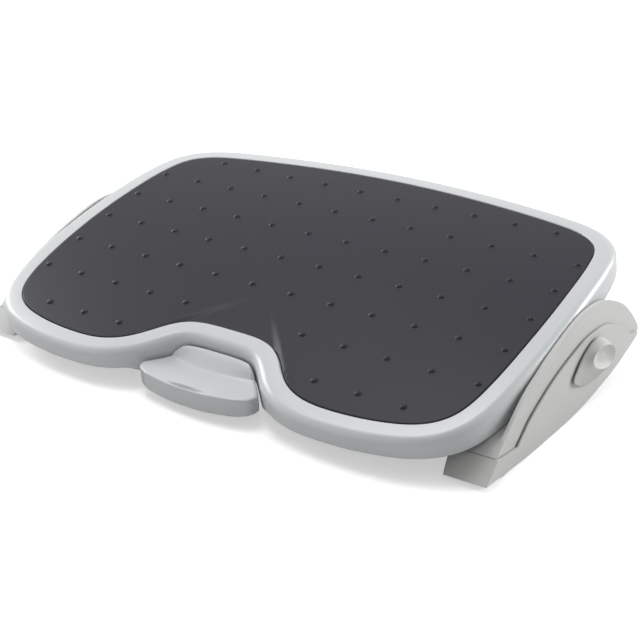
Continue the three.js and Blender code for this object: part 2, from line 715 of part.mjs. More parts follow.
// Cheek: outer plate, inner plate, and the trough between them with the wedge toe
function sideCheek(side) {
  const slope = [frontSlope(toeHeight), toeHeight];
  const tip = [-cheekFrontReach, toeTipHeight];
  const sole = [-cheekFrontReach + troughWall, footProud];
  const outer = plate([
    sole, tip, slope,
    [-toeRearReach, toeRearHeight],
    ...sideOutline([...cheekFrontShares, ...cheekRearShares], cheekFrontReach, cheekRearReach, cheekCrest),
    [-floorPlateEnd, footProud],
  ], span(side, cheekOuterLow, cheekOuterHigh));
  const innerShares = [...innerPlateShares, ...innerPlateRearShares];
  const inner = plate([
    sole,
    ...sideOutline(innerShares, cheekFrontReach, cheekRearReach, cheekCrest),
    [0, footProud],
  ], span(side, cheekInnerPlace, cheekInnerHigh));
  const trough = plate([
    tip, slope,
    [-toeRearReach, toeRearHeight],
    [-toeEnd, toeTop(-toeEnd)],
    [-toeEnd, toeTop(-toeEnd) - troughWall],
    [slope[0] + troughWall / 3, slope[1] - troughWall * 1.2],
    [tip[0] + troughWall * 2, footProud + troughWall],
    [-floorPlateEnd, footProud + troughWall],
    [-floorPlateEnd, footProud],
    sole,
  ], span(side, cheekInnerPlace, cheekOuterHigh));
  const plateX = span(side, cheekInnerPlace - overrun, cheekInnerHigh + overrun);
  const rodX = span(side, cheekInnerPlace - overrun, cheekOuterHigh + overrun);
  const stemBore = footStem + runGap;
  const bores = [
    rod(pivotRodRadius + 2 * runGap, rodX, 0, pivotHeight),
    rod(screwRadius + 2 * runGap, plateX, frontBarBack, frontBarHeight, smallSides),
    rod(screwRadius + 2 * runGap, plateX, rearBarBack, rearBarHeight, smallSides),
    ...[-frontFootReach, -rearFootReach].map((y) => new THREE.CylinderGeometry(stemBore, stemBore, overrun * 3, smallSides)
      .rotateX(Math.PI / 2).translate(side * footAcross, y, footProud)),
  ];
  return cut(joined(outer, inner, trough), ...bores);
}

function footPad(side, y) {
  const top = footProud + troughWall + seatGap;
  const under = footProud - seatGap;
  const profile = [
    [0, 0], [footRadius - footProud / 2, 0], [footRadius, footProud / 2], [footRadius, under],
    [footStem, under], [footStem, top], [footHead, top], [footStem, top + footHeadHeight],
    [0, top + footHeadHeight],
  ].map(([radius, height]) => new THREE.Vector2(radius, height));
  return new THREE.LatheGeometry(profile, smallSides).rotateX(Math.PI / 2).translate(side * footAcross, y, 0);
}

// A pan head screw along x, with its head outside and its shank inwards
function panScrew(side, headLow, y, z) {
  const head = rod(screwHeadRadius, span(side, headLow, headLow + screwHeadHeight), y, z, smallSides);
  const shankX = span(side, headLow - screwDepth, headLow + screwHeadHeight / 2);
  const shank = rod(screwRadius, shankX, y, z, smallSides);
  const slot = block(span(side, headLow + screwHeadHeight / 2, headLow + overrun),
    [y - screwRadius, y + screwRadius], [z - screwRadius / 4, z + screwRadius / 4]);
  return cut(joined(head, shank), slot);
}

function crossbar(radius, y, z) {
  const end = cheekInnerPlace - seatGap;
  const depth = screwDepth + overrun;
  const screwWays = [1, -1].map((side) =>
    rod(screwRadius + runGap, span(side, end - depth, end + overrun), y, z, smallSides));
  return cut(rod(radius, [-end, end], y, z), ...screwWays);
}

function pipe(radius, bore, x, y, z) {
  return cut(rod(radius, x, y, z), rod(bore, widened(x), y, z));
}

// Toothed quadrant: a plate from the hinge pin to the yoke tube, with teeth on its rear edge
function tiltQuadrant(side) {
  const x = span(side, hingePlace - quadrantThickness / 2, hingePlace + quadrantThickness / 2);
  const at = (radius, angle) =>
    [-hingeForward + radius * Math.cos(angle), -hingeBelow + radius * Math.sin(angle)];
  const teeth = [];
  for (let i = 0; i < toothCount; i += 1) {
    const angle = firstToothAngle + (i + 1) * toothStep;
    const root = at(toothRadius - toothDepth, angle + toothStep / 2);
    teeth.push(at(toothRadius, angle), at(toothRadius, angle + toothStep / 3), root);
  }
  const lastAngle = firstToothAngle + (toothCount + 1) * toothStep;
  teeth.push(at(toothRadius, lastAngle));
  const tube = placeOnPlatform(yokeTubeBack, yokeTubeHeight);
  const collar = yokeTubeRadius + armPlate;
  const body = plate([
    at(quadrantNose, Math.PI / 2),
    at(quadrantNose, Math.PI),
    at(quadrantNose, -Math.PI / 2),
    [tube[0] - collar / 2, tube[1] - collar * 0.8],
    [tube[0], tube[1]],
    ...teeth,
  ], x);
  const ends = [rod(quadrantNose, x, ...at(0, 0)), rod(collar, x, ...tube)];
  const ways = [
    rod(hingePinRadius + runGap, widened(x), ...at(0, 0), smallSides),
    rod(yokeTubeRadius + runGap, widened(x), ...tube),
  ];
  const headroom = plate(deckUnderside(), widened(x));
  return cut(joined(body, ...ends), ...ways, headroom);
}

// The space of the deck over the quadrants, which they stay clear of
function deckUnderside() {
  const under = matThickness + deckThickness + 4 * seatGap;
  const front = -hingeForward - 2 * hingeLugHalfDepth;
  const back = -lockForward + hingeLugHalfDepth;
  return [[front, archDrop(front) - under], [back, archDrop(back) - under], [back, 0], [front, 0]];
}

// A point of the side view, in the platform's own plane
function placeOnPlatform(y, z) {
  const back = y * Math.cos(restTilt) + (z - pivotHeight) * Math.sin(restTilt);
  const up = (z - pivotHeight) * Math.cos(restTilt) - y * Math.sin(restTilt);
  return [back + pivotBehindCentre, up - rimAbovePivot - rimDepth];
}

function clampKnob(side) {
  const control = knobOutlineShares.map(([back, up]) => new THREE.Vector3(back * knobBack, up * knobTall, 0));
  const round = new THREE.CatmullRomCurve3(control.reverse(), true, 'centripetal');
  const outline = round.getPoints(control.length * curveSamplesPerSpan).slice(1);
  const rings = knobRimShares.map(([, share]) =>
    outline.map((spot) => new THREE.Vector2(spot.x * share, spot.y * share)));
  const heights = knobRimShares.map(([up]) => up * knobHeight);
  const body = loft(rings.reverse(), heights.reverse()).applyMatrix4(sideways);
  const dimple = new THREE.SphereGeometry(1, roundSides, dimpleRings)
    .scale(dimpleDepth, dimpleRadius * dimpleStretch, dimpleRadius).translate(knobHeight, 0, 0);
  const pocket = rod(nutRadius + 2 * runGap, [-overrun, nutHeight + 2 * seatGap], 0, 0, nutSides);
  const knob = cut(body, dimple, pocket);
  if (side < 0) knob.rotateZ(Math.PI).scale(1, -1, 1);
  return placedKnobPiece(side < 0 ? flipped(knob) : knob, side);
}

// A mirrored geometry has its faces turned round again
function flipped(geometry) {
  const index = Array.from(geometry.index.array);
  for (let i = 0; i < index.length; i += 3) {
    [index[i + 1], index[i + 2]] = [index[i + 2], index[i + 1]];
  }
  geometry.setIndex(index);
  return geometry;
}

function placedKnobPiece(geometry, side) {
  return geometry.translate(side * knobLow, 0, pivotHeight);
}

function knobNut(side) {
  const x = span(side, seatGap, seatGap + nutHeight);
  const bore = rod(pivotRodRadius + runGap, widened(x), 0, 0);
  return placedKnobPiece(cut(rod(nutRadius, x, 0, 0, nutSides), bore), side);
}

function armBush(side) {
  const x = span(side, armInnerPlace - bushFlange / 2, armOuterHigh);
  return pipe(pivotRodRadius + bushWall + runGap, pivotRodRadius + runGap, x, 0, pivotHeight);
}

function frictionWasher(side) {
  const bushEnd = armInnerPlace - bushFlange / 2;
  const middle = (cheekInnerHigh + bushEnd) / 2;
  const half = Math.min(washerThickness / 2, (bushEnd - cheekInnerHigh) / 2 - seatGap);
  const x = span(side, middle - half, middle + half);
  return pipe(washerRadius, pivotRodRadius + 2 * runGap, x, 0, pivotHeight);
}

const footrest = new THREE.Group();
const floorFrame = new THREE.Group();
const platformFrame = new THREE.Group();
footrest.add(floorFrame, platformFrame);

function addPiece(group, name, geometry, look) {
  const mesh = new THREE.Mesh(geometry, new THREE.MeshStandardMaterial(look));
  mesh.name = name;
  group.add(mesh);
}

// Base
for (const [side, hand] of [[1, 'right'], [-1, 'left']]) {
  addPiece(floorFrame, `cheek_${hand}`, sideCheek(side), warmGrey);
  addPiece(floorFrame, `foot_pad_front_${hand}`, footPad(side, -frontFootReach), blackRubber);
  addPiece(floorFrame, `foot_pad_rear_${hand}`, footPad(side, -rearFootReach), blackRubber);
  addPiece(floorFrame, `friction_washer_${hand}`, frictionWasher(side), nylon);
  const headLow = cheekInnerHigh + seatGap;
  const frontScrew = panScrew(side, headLow, frontBarBack, frontBarHeight);
  const rearScrew = panScrew(side, headLow, rearBarBack, rearBarHeight);
  addPiece(floorFrame, `crossbar_screw_front_${hand}`, frontScrew, darkSteel);
  addPiece(floorFrame, `crossbar_screw_rear_${hand}`, rearScrew, darkSteel);
}
addPiece(floorFrame, 'crossbar_front', crossbar(frontBarRadius, frontBarBack, frontBarHeight), brightSteel);
addPiece(floorFrame, 'crossbar_rear', crossbar(rearBarRadius, rearBarBack, rearBarHeight), brightSteel);
const rodEnd = knobLow + seatGap + nutHeight - runGap;
addPiece(floorFrame, 'pivot_rod', rod(pivotRodRadius, [-rodEnd, rodEnd], 0, pivotHeight), brightSteel);
const spacerEnd = cheekInnerPlace - seatGap;
const spacerTube = pipe(spacerRadius, pivotRodRadius + 2 * runGap, [-spacerEnd, spacerEnd], 0, pivotHeight);
addPiece(floorFrame, 'pivot_spacer_tube', spacerTube, darkSteel);

// Yoke
for (const [side, hand] of [[1, 'right'], [-1, 'left']]) {
  addPiece(floorFrame, `arm_${hand}`, sideArm(side), warmGrey);
  addPiece(floorFrame, `arm_bush_${hand}`, armBush(side), nylon);
  const yokeScrew = panScrew(side, armInnerHigh + seatGap, yokeTubeBack, yokeTubeHeight);
  addPiece(floorFrame, `yoke_screw_${hand}`, yokeScrew, darkSteel);
  addPiece(platformFrame, `tilt_quadrant_${hand}`, tiltQuadrant(side), darkSteel);
}
const tubeEnd = armInnerPlace - seatGap;
const yokeTube = pipe(yokeTubeRadius, yokeTubeBore, [-tubeEnd, tubeEnd], yokeTubeBack, yokeTubeHeight);
addPiece(floorFrame, 'yoke_tube', yokeTube, brightSteel);

// Platform
addPiece(platformFrame, 'platform_shell', platformShell(), coolGrey);
addPiece(platformFrame, 'foot_mat', footMat(), charcoal);
const hingePinHalf = quadrantThickness / 2 + lugGap + lugThickness;
for (const [side, hand] of [[1, 'right'], [-1, 'left']]) {
  const pinX = span(side, hingePlace - hingePinHalf, hingePlace + hingePinHalf);
  const hingePin = rod(hingePinRadius, pinX, -hingeForward, -hingeBelow, smallSides);
  addPiece(platformFrame, `hinge_pin_${hand}`, hingePin, brightSteel);
}
const pedalPinX = [-pedalPinHalfLength, pedalPinHalfLength];
const pedalPin = rod(pedalPinRadius, pedalPinX, -pedalPinForward, -pedalPinBelow, smallSides);
addPiece(platformFrame, 'pedal_pin', pedalPin, brightSteel);
addPiece(platformFrame, 'lock_spring', lockSpring(), darkSteel);

// Pedal and lock bar
addPiece(platformFrame, 'pedal', pedalBody(), coolGrey);
addPiece(platformFrame, 'lock_bar', lockBar(), brightSteel);
for (const [side, hand] of [[1, 'right'], [-1, 'left']]) {
  addPiece(platformFrame, `lock_pawl_${hand}`, lockPawl(side), darkSteel);
}

// Knobs
for (const [side, hand] of [[1, 'right'], [-1, 'left']]) {
  addPiece(floorFrame, `knob_${hand}`, clampKnob(side), warmGrey);
  addPiece(floorFrame, `knob_nut_${hand}`, knobNut(side), brightSteel);
}

// The platform's frame has the mat's centre as its origin
// The whole stands with its middle over the origin
const mount = rimAbovePivot + rimDepth;
platformFrame.rotation.x = restTilt;
platformFrame.position.set(
  0,
  -pivotBehindCentre * Math.cos(restTilt) - mount * Math.sin(restTilt),
  pivotHeight - pivotBehindCentre * Math.sin(restTilt) + mount * Math.cos(restTilt),
);
footrest.updateMatrixWorld(true);
const extent = new THREE.Box3().setFromObject(footrest, true);
footrest.position.set(0, -(extent.min.y + extent.max.y) / 2, -extent.min.z);

export default footrest;
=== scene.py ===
"""A tilting under desk footrest: two cheeks, two swinging arms, and a matted platform with a pedal."""
import json
import math

import bpy
from mathutils import Matrix, Vector
from mathutils.kdtree import KDTree

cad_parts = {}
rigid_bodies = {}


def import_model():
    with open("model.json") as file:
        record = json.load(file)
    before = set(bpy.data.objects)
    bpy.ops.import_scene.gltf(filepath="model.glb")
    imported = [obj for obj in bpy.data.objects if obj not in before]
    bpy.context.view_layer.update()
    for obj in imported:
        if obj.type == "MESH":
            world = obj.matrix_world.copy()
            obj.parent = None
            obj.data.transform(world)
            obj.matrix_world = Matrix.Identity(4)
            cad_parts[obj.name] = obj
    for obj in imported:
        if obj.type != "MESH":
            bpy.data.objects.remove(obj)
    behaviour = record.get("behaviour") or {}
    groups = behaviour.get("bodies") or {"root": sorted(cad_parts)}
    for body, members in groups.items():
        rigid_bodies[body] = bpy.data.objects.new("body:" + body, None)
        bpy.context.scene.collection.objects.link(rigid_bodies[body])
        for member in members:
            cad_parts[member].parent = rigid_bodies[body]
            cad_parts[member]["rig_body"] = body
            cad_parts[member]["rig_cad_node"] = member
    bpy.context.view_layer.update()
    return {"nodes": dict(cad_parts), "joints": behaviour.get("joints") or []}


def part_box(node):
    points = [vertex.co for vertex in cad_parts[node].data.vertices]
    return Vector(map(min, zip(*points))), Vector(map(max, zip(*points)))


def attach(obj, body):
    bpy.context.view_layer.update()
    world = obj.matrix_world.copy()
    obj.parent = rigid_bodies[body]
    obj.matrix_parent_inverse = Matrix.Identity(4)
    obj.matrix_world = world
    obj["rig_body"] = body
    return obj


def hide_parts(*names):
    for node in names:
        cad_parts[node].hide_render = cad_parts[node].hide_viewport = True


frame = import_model()
places = {joint["name"]: Vector(joint["pos_m"]) for joint in frame["joints"]}

# Camera
# It looks down at the front right corner, as a person would who crouches beside the desk.
# The lattice of domes on the mat fixes the view and its lens.
camera_place = (0.6875, -0.9781, 0.5370)
camera_height_angle = math.radians(23.2)
camera_side_angle = math.radians(34.5)
camera_sensor = 36
camera_lens = 78.98
bpy.ops.object.camera_add(
    location=camera_place, rotation=(math.pi / 2 - camera_height_angle, 0, camera_side_angle),
)
camera = bpy.context.object
camera.data.sensor_fit = "HORIZONTAL"
camera.data.sensor_width = camera_sensor
camera.data.lens = camera_lens
bpy.context.scene.camera = camera
bpy.context.scene.view_settings.view_transform = "Standard"

# Floor and studio light
# A plain white floor under a white room, lit by square lamps above, at both sides and weakly in front.
# The floor keeps the soft shadow under the footrest, and its own faint glow grows with the distance.
floor_size = 16
floor_tone = 0.9
floor_bounce = 0.74
near_lift = 0.48
far_lift = 1
lift_from = 0.75
lift_to = 1.7
room_strength = 0.3
lamps = {
    "overhead": {"place": (-0.5, 0.1, 2.0), "size": (1.2, 1.0), "power": 19.5},
    "left": {"place": (-1.9, 0.0, 1.1), "size": (0.8, 0.8), "power": 18},
    "low_left": {"place": (-2.1, 0.4, 0.5), "size": (0.5, 0.6), "power": 6},
    "right": {"place": (1.5, 1.7, 0.8), "size": (1.0, 1.0), "power": 38},
    "front": {"place": (-0.6, -2.2, 0.4), "size": (0.8, 0.5), "power": 2},
}


def matt(nodes, tone):
    paint = nodes.new("ShaderNodeBsdfDiffuse")
    paint.inputs["Color"].default_value = (tone, tone, tone, 1)
    return paint


def glow(nodes, strength):
    wall = nodes.new("ShaderNodeBackground")
    wall.inputs["Color"].default_value = (1, 1, 1, 1)
    wall.inputs["Strength"].default_value = strength
    return wall


def show(tree, seen, front, back, kind):
    """The first shader meets the rays that are counted as seen, and the second all others."""
    choice = tree.nodes.new("ShaderNodeMixShader")
    tree.links.new(seen, choice.inputs["Fac"])
    tree.links.new(back.outputs[0], choice.inputs[1])
    tree.links.new(front.outputs[0], choice.inputs[2])
    tree.links.new(choice.outputs["Shader"], tree.nodes.new(kind).inputs["Surface"])


bpy.ops.mesh.primitive_plane_add(size=floor_size, location=(0, 0, 0))
floor = bpy.context.object
floor.name = "floor"
floor_paint = bpy.data.materials.new("floor_paint")
floor_paint.use_nodes = True
nodes = floor_paint.node_tree.nodes
links = floor_paint.node_tree.links
nodes.clear()
matt_white = matt(nodes, floor_tone)
bounced = matt(nodes, floor_bounce)
lift = nodes.new("ShaderNodeEmission")
middle = nodes.new("ShaderNodeTexCoord")
distance = nodes.new("ShaderNodeVectorMath")
distance.operation = "LENGTH"
fade = nodes.new("ShaderNodeMapRange")
fade.inputs["From Min"].default_value = lift_from
fade.inputs["From Max"].default_value = lift_to
fade.inputs["To Min"].default_value = near_lift
fade.inputs["To Max"].default_value = far_lift
links.new(middle.outputs["Object"], distance.inputs[0])
links.new(distance.outputs["Value"], fade.inputs["Value"])
links.new(fade.outputs["Result"], lift.inputs["Strength"])
lit = nodes.new("ShaderNodeAddShader")
rays = nodes.new("ShaderNodeLightPath")
links.new(matt_white.outputs["BSDF"], lit.inputs[0])
links.new(lift.outputs["Emission"], lit.inputs[1])
show(floor_paint.node_tree, rays.outputs["Is Camera Ray"], lit, bounced, "ShaderNodeOutputMaterial")
floor.data.materials.append(floor_paint)

room = bpy.data.worlds.new("white_room")
bpy.context.scene.world = room
room.use_nodes = True
nodes = room.node_tree.nodes
links = room.node_tree.links
nodes.clear()
rays = nodes.new("ShaderNodeLightPath")
seen = rays.outputs["Is Camera Ray"]
for kind in ("Is Glossy Ray", "Is Transmission Ray"):
    either = nodes.new("ShaderNodeMath")
    either.operation = "MAXIMUM"
    links.new(seen, either.inputs[0])
    links.new(rays.outputs[kind], either.inputs[1])
    seen = either.outputs["Value"]
show(room.node_tree, seen, glow(nodes, 1), glow(nodes, room_strength), "ShaderNodeOutputWorld")

for lamp_name, lamp in lamps.items():
    bpy.ops.object.light_add(type="AREA", location=lamp["place"])
    light = bpy.context.object
    light.name = lamp_name + "_lamp"
    light.data.shape = "RECTANGLE"
    light.data.size, light.data.size_y = lamp["size"]
    light.data.energy = lamp["power"]
    light.rotation_euler = Vector(lamp["place"]).to_track_quat("Z", "Y").to_euler()

# Cheeks
# Each side stands on a cheek: a trough of light grey plastic with a tall outer plate and a wedge toe.
# It is injection moulded in one, so its edges are softly rounded and its faces have a fine satin grain.
cheek_outer_face = 0.269
cheek_plate = 0.0014
cheek_inner_face = 0.226
cheek_inner_plate = 0.003
cheek_front = 0.1778
cheek_rear = 0.1045
cheek_crest = 0.0664
toe_height = 0.0196
toe_rear = 0.12802
toe_rear_height = 0.0168
toe_end = 0.125
toe_tip_height = 0.0045
toe_slope = math.radians(39.7)
sole_height = 0.001
sole_end = 0.005
toe_seat = 0.1515
toe_draft = 0.0055
trough_wall = 0.003
toe_draft_top = 0.0155
toe_draft_run = 0.011
cheek_edge_round = 0.0006
plastic_index = 1.47
cloud_scale = 9
mould_scale = 1500
mould_depth = 0.00004
touching = 0.000001
pivot = places["yoke_raise"]
cheek_shares = [
    (-0.669, 0.354), (-0.618, 0.464), (-0.511, 0.619), (-0.371, 0.78), (-0.272, 0.863), (-0.153, 0.941),
    (-0.066, 0.988), (0.077, 1), (0.284, 0.975), (0.438, 0.896), (0.566, 0.806), (0.7, 0.678),
    (0.782, 0.587), (0.85, 0.53), (0.922, 0.5), (0.98, 0.486), (1, 0.455), (0.982, 0.42), (0.934, 0.388),
    (0.877, 0.355), (0.798, 0.315), (0.719, 0.275), (0.641, 0.238), (0.55, 0.203), (0.464, 0.17),
    (0.366, 0.14), (0.269, 0.113), (0.173, 0.088), (0.078, 0.065), (-0.015, 0.044), (-0.075, 0.029),
    (-0.141, 0.0165), (-0.253, 0.0055), (-0.394, 0.0045), (-0.534, 0.0055), (-0.624, 0.0105),
    (-0.703, 0.022), (-0.782, 0.035), (-0.855, 0.048), (-0.928, 0.059),
]
inner_plate_shares = [
    (-0.97, 0.12), (-0.9, 0.21), (-0.7, 0.22), (-0.5, 0.31), (-0.34, 0.52), (-0.135, 0.86), (-0.056, 0.91),
    (0.115, 0.91), (0.29, 0.78), (0.6, 0.52), (0.72, 0.4), (0.75, 0.2), (0.56, 0.08), (0.2, 0.04),
]


def clamped(value):
    return min(max(value, 0), 1)


def new_finish(name):
    """A new material with its nodes, its shader, and the place on the piece that drives its patterns."""
    material = bpy.data.materials.new(name)
    material.use_nodes = True
    tree = material.node_tree
    place = tree.nodes.new("ShaderNodeTexCoord").outputs["Object"]
    return material, tree, tree.nodes["Principled BSDF"], place


def noise(tree, place, scale, detail):
    pattern = tree.nodes.new("ShaderNodeTexNoise")
    pattern.inputs["Scale"].default_value = scale
    pattern.inputs["Detail"].default_value = detail
    tree.links.new(place, pattern.inputs["Vector"])
    return pattern.outputs["Fac"]


def vary(tree, pattern, colour, tones, roughness, spread):
    """Lets a pattern move the colour between two tones, and the roughness by a spread."""
    shader = tree.nodes["Principled BSDF"]
    tint = tree.nodes.new("ShaderNodeMix")
    tint.data_type = "RGBA"
    tint.inputs["A"].default_value = (*(tones[0] * part for part in colour), 1)
    tint.inputs["B"].default_value = (*(tones[1] * part for part in colour), 1)
    gloss = tree.nodes.new("ShaderNodeMapRange")
    gloss.inputs["To Min"].default_value = roughness - spread
    gloss.inputs["To Max"].default_value = roughness + spread
    tree.links.new(pattern, tint.inputs["Factor"])
    tree.links.new(pattern, gloss.inputs["Value"])
    tree.links.new(tint.outputs["Result"], shader.inputs["Base Color"])
    tree.links.new(gloss.outputs["Result"], shader.inputs["Roughness"])


def emboss(tree, pattern, strength, depth):
    relief = tree.nodes.new("ShaderNodeBump")
    relief.inputs["Strength"].default_value = strength
    relief.inputs["Distance"].default_value = depth
    tree.links.new(pattern, relief.inputs["Height"])
    tree.links.new(relief.outputs["Normal"], tree.nodes["Principled BSDF"].inputs["Normal"])


def moulded_plastic(name, colour, roughness, grain, shine=0.5):
    """Satin plastic: a faint cloudiness in its colour and gloss, and the fine grain of the mould."""
    material, tree, shader, place = new_finish(name)
    shader.inputs["IOR"].default_value = plastic_index
    shader.inputs["Specular IOR Level"].default_value = shine
    vary(tree, noise(tree, place, cloud_scale, 3), colour, (0.975, 1.02), roughness, 0.04)
    emboss(tree, noise(tree, place, mould_scale, 2), grain, mould_depth)
    return material


def draw_outline(name, points, sharp=(), steps=6):
    """A closed line in the XY plane through the points, smooth but at the numbered sharp ones."""
    bpy.ops.curve.primitive_bezier_circle_add()
    curve = bpy.context.object
    curve.name = name
    curve.data.resolution_u = steps
    spline = curve.data.splines[0]
    spline.resolution_u = steps
    knots = spline.bezier_points
    knots.add(len(points) - len(knots))
    for knot, (across, along) in zip(knots, points):
        knot.co = (across, along, 0)
    for number, knot in enumerate(knots):
        kind = "VECTOR" if number in sharp else "AUTO"
        knot.handle_left_type = kind
        knot.handle_right_type = kind
    bpy.ops.object.convert(target="MESH")
    return bpy.context.object


def pick(piece):
    """Selects the piece alone and makes it the active one."""
    bpy.ops.object.select_all(action="DESELECT")
    piece.select_set(True)
    bpy.context.view_layer.objects.active = piece


def edit_all(piece):
    """Opens the piece's mesh with all of it selected."""
    pick(piece)
    bpy.ops.object.mode_set(mode="EDIT")
    bpy.ops.mesh.select_mode(type="VERT")
    bpy.ops.mesh.select_all(action="SELECT")


def close_mesh():
    bpy.ops.object.mode_set(mode="OBJECT")


def close_outwards():
    """Turns all the faces of the open mesh outwards and closes it."""
    bpy.ops.mesh.select_all(action="SELECT")
    bpy.ops.mesh.normals_make_consistent(inside=False)
    close_mesh()


def thicken(piece, depth, shortest=touching):
    """Fills a drawn line and draws the face out along Z into a closed plate."""
    edit_all(piece)
    bpy.ops.mesh.remove_doubles(threshold=shortest)
    bpy.ops.mesh.edge_face_add()
    bpy.ops.mesh.extrude_region_move(TRANSFORM_OT_translate={"value": (0, 0, depth)})
    close_outwards()
    return piece


def set_down(piece, turn=(0, 0, 0), place=(0, 0, 0)):
    """Turns and moves the piece, and keeps its place in its mesh."""
    pick(piece)
    piece.rotation_euler = turn
    piece.location = place
    bpy.ops.object.transform_apply(location=True, rotation=True, scale=True)
    return piece


upright = (math.pi / 2, 0, math.pi / 2)


def side_plate(name, points, low, high, sharp=None, shortest=touching):
    """A plate cut to an outline in y and z, from x = low to x = high, sharp at all its points or at some."""
    line = draw_outline(name, points, range(len(points)) if sharp is None else sharp)
    return set_down(thicken(line, high - low, shortest), upright, (low, 0, 0))


def apply_modifier(piece, kind, **settings):
    pick(piece)
    bpy.ops.object.modifier_add(type=kind)
    modifier = piece.modifiers[-1]
    for setting, value in settings.items():
        setattr(modifier, setting, value)
    bpy.ops.object.modifier_apply(modifier=modifier.name)


def combine(piece, tool, operation):
    """Welds the tool to the piece, or cuts it out, and clears the tool away."""
    apply_modifier(piece, "BOOLEAN", operation=operation, solver="EXACT", object=tool)
    bpy.data.objects.remove(tool)


def join(piece, *others):
    pick(piece)
    for other in others:
        other.select_set(True)
    bpy.ops.object.join()


def soften(piece, radius=0, segments=3, angle=math.radians(32)):
    """Rounds the sharp edges and shades the faces so that the flats stay flat."""
    if radius:
        edit_all(piece)
        bpy.ops.mesh.remove_doubles(threshold=touching)
        bpy.ops.mesh.dissolve_limited(angle_limit=math.radians(0.05))
        close_mesh()
        apply_modifier(
            piece, "BEVEL", width=radius, segments=segments, limit_method="ANGLE", angle_limit=angle,
            use_clamp_overlap=True, miter_outer="MITER_ARC",
        )
    bpy.ops.object.shade_smooth_by_angle(angle=angle)
    apply_modifier(piece, "WEIGHTED_NORMAL", weight=60, keep_sharp=True)
    return piece


def twin(piece):
    """A copy of the piece with its own mesh."""
    pick(piece)
    bpy.ops.object.duplicate()
    return bpy.context.object


def mirrored(piece, name):
    """The left hand copy of a right hand piece."""
    copy = twin(piece)
    copy.name = name
    copy.scale = (-1, 1, 1)
    bpy.ops.object.transform_apply(location=True, rotation=True, scale=True)
    edit_all(copy)
    close_outwards()
    return copy


def fit(piece, finish, body, node):
    """Gives the piece its finish and its body, in place of the plain solid that it stands for."""
    piece.data.materials.clear()
    piece.data.materials.append(finish)
    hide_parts(node)
    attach(piece, body)


def from_shares(shares, front, rear, tall):
    """Side outline points: shares of the reach before and behind the pivot, and of the height."""
    return [(pivot.y + back * (front if back < 0 else rear), up * tall) for back, up in shares]


side_plastic = moulded_plastic("side_plastic", (0.585, 0.585, 0.575), 0.46, 0.35)


def front_slope(height):
    """Where the sloping front of the toe is at a height, in y."""
    return pivot.y - cheek_front + (height - toe_tip_height) / math.tan(toe_slope)


def toe_top(y):
    start = front_slope(toe_height)
    share = (y - start) / (pivot.y - toe_rear - start)
    return toe_height + share * (toe_rear_height - toe_height)


toe_points = [
    (pivot.y - cheek_front, toe_tip_height),
    (front_slope(toe_height), toe_height),
    (pivot.y - toe_rear, toe_rear_height),
]
outer_points = toe_points + from_shares(cheek_shares, cheek_front, cheek_rear, cheek_crest)
cheek = side_plate(
    "cheek_moulding_right", outer_points, cheek_outer_face - cheek_plate, cheek_outer_face,
    sharp=range(len(toe_points)), shortest=cheek_edge_round * 1.3,
)
toe_heel = (pivot.y - toe_seat, sole_height)
toe_seat_top = (pivot.y - toe_seat, toe_tip_height - sole_height)
inner_points = [toe_heel, toe_seat_top, toe_points[0]]
inner_points += from_shares(inner_plate_shares, cheek_front, cheek_rear, cheek_crest)
inner_points.append((pivot.y, sole_height))
inner_plate = side_plate(
    "cheek_inner_plate", inner_points, cheek_inner_face, cheek_inner_face + cheek_inner_plate,
    sharp=(0, 1, 2, len(inner_points) - 1),
)
toe_end_top = toe_top(pivot.y - toe_end)
trough_points = [
    *toe_points,
    (pivot.y - toe_end, toe_end_top),
    (pivot.y - toe_end, toe_end_top - trough_wall),
    (toe_points[1][0] + trough_wall / 3, toe_height - trough_wall * 1.2),
    (toe_points[0][0] + trough_wall * 2.2, toe_tip_height + trough_wall * 0.8),
    (pivot.y - toe_seat + trough_wall, sole_height + trough_wall),
    (pivot.y - sole_end, sole_height + trough_wall),
    (pivot.y - sole_end, sole_height),
    toe_heel,
    toe_seat_top,
]
trough = side_plate(
    "cheek_trough", trough_points, cheek_inner_face + cheek_inner_plate / 3,
    cheek_outer_face - cheek_plate * 2 / 3,
)
combine(cheek, inner_plate, "UNION")
combine(cheek, trough, "UNION")
for vertex in cheek.data.vertices:
    x, y, z = vertex.co
    if x < cheek_inner_face + toe_draft and y < pivot.y - toe_seat + 0.0001:
        vertex.co.x += toe_draft * clamped((toe_draft_top - z) / toe_draft_run)
cheek_left = mirrored(cheek, "cheek_moulding_left")
for piece, hand in ((cheek, "right"), (cheek_left, "left")):
    soften(piece, cheek_edge_round)
    fit(piece, side_plastic, "base", "cheek_" + hand)

# Foot pads
# Four round pads of black rubber, each pushed by its stem through a hole in a cheek's sole.
# They keep the footrest from sliding.
pad_radius = 0.009
pad_thickness = 0.001
pad_groove_depth = 0.0003
pad_stem = 0.0026
pad_stem_height = 0.0063
pad_barb = 0.0042
pad_barb_height = 0.0043
pad_profile = [
    (0, 0), (0.0062, 0), (0.0066, pad_groove_depth), (0.0072, pad_groove_depth), (0.0076, 0),
    (pad_radius - 0.0006, 0), (pad_radius - 0.0001, 0.0003), (pad_radius, pad_thickness - 0.0003),
    (pad_stem, pad_thickness - 0.0003), (pad_stem, pad_barb_height), (pad_barb, pad_barb_height),
    (0.0036, 0.0052), (pad_stem, pad_stem_height), (0, pad_stem_height),
]


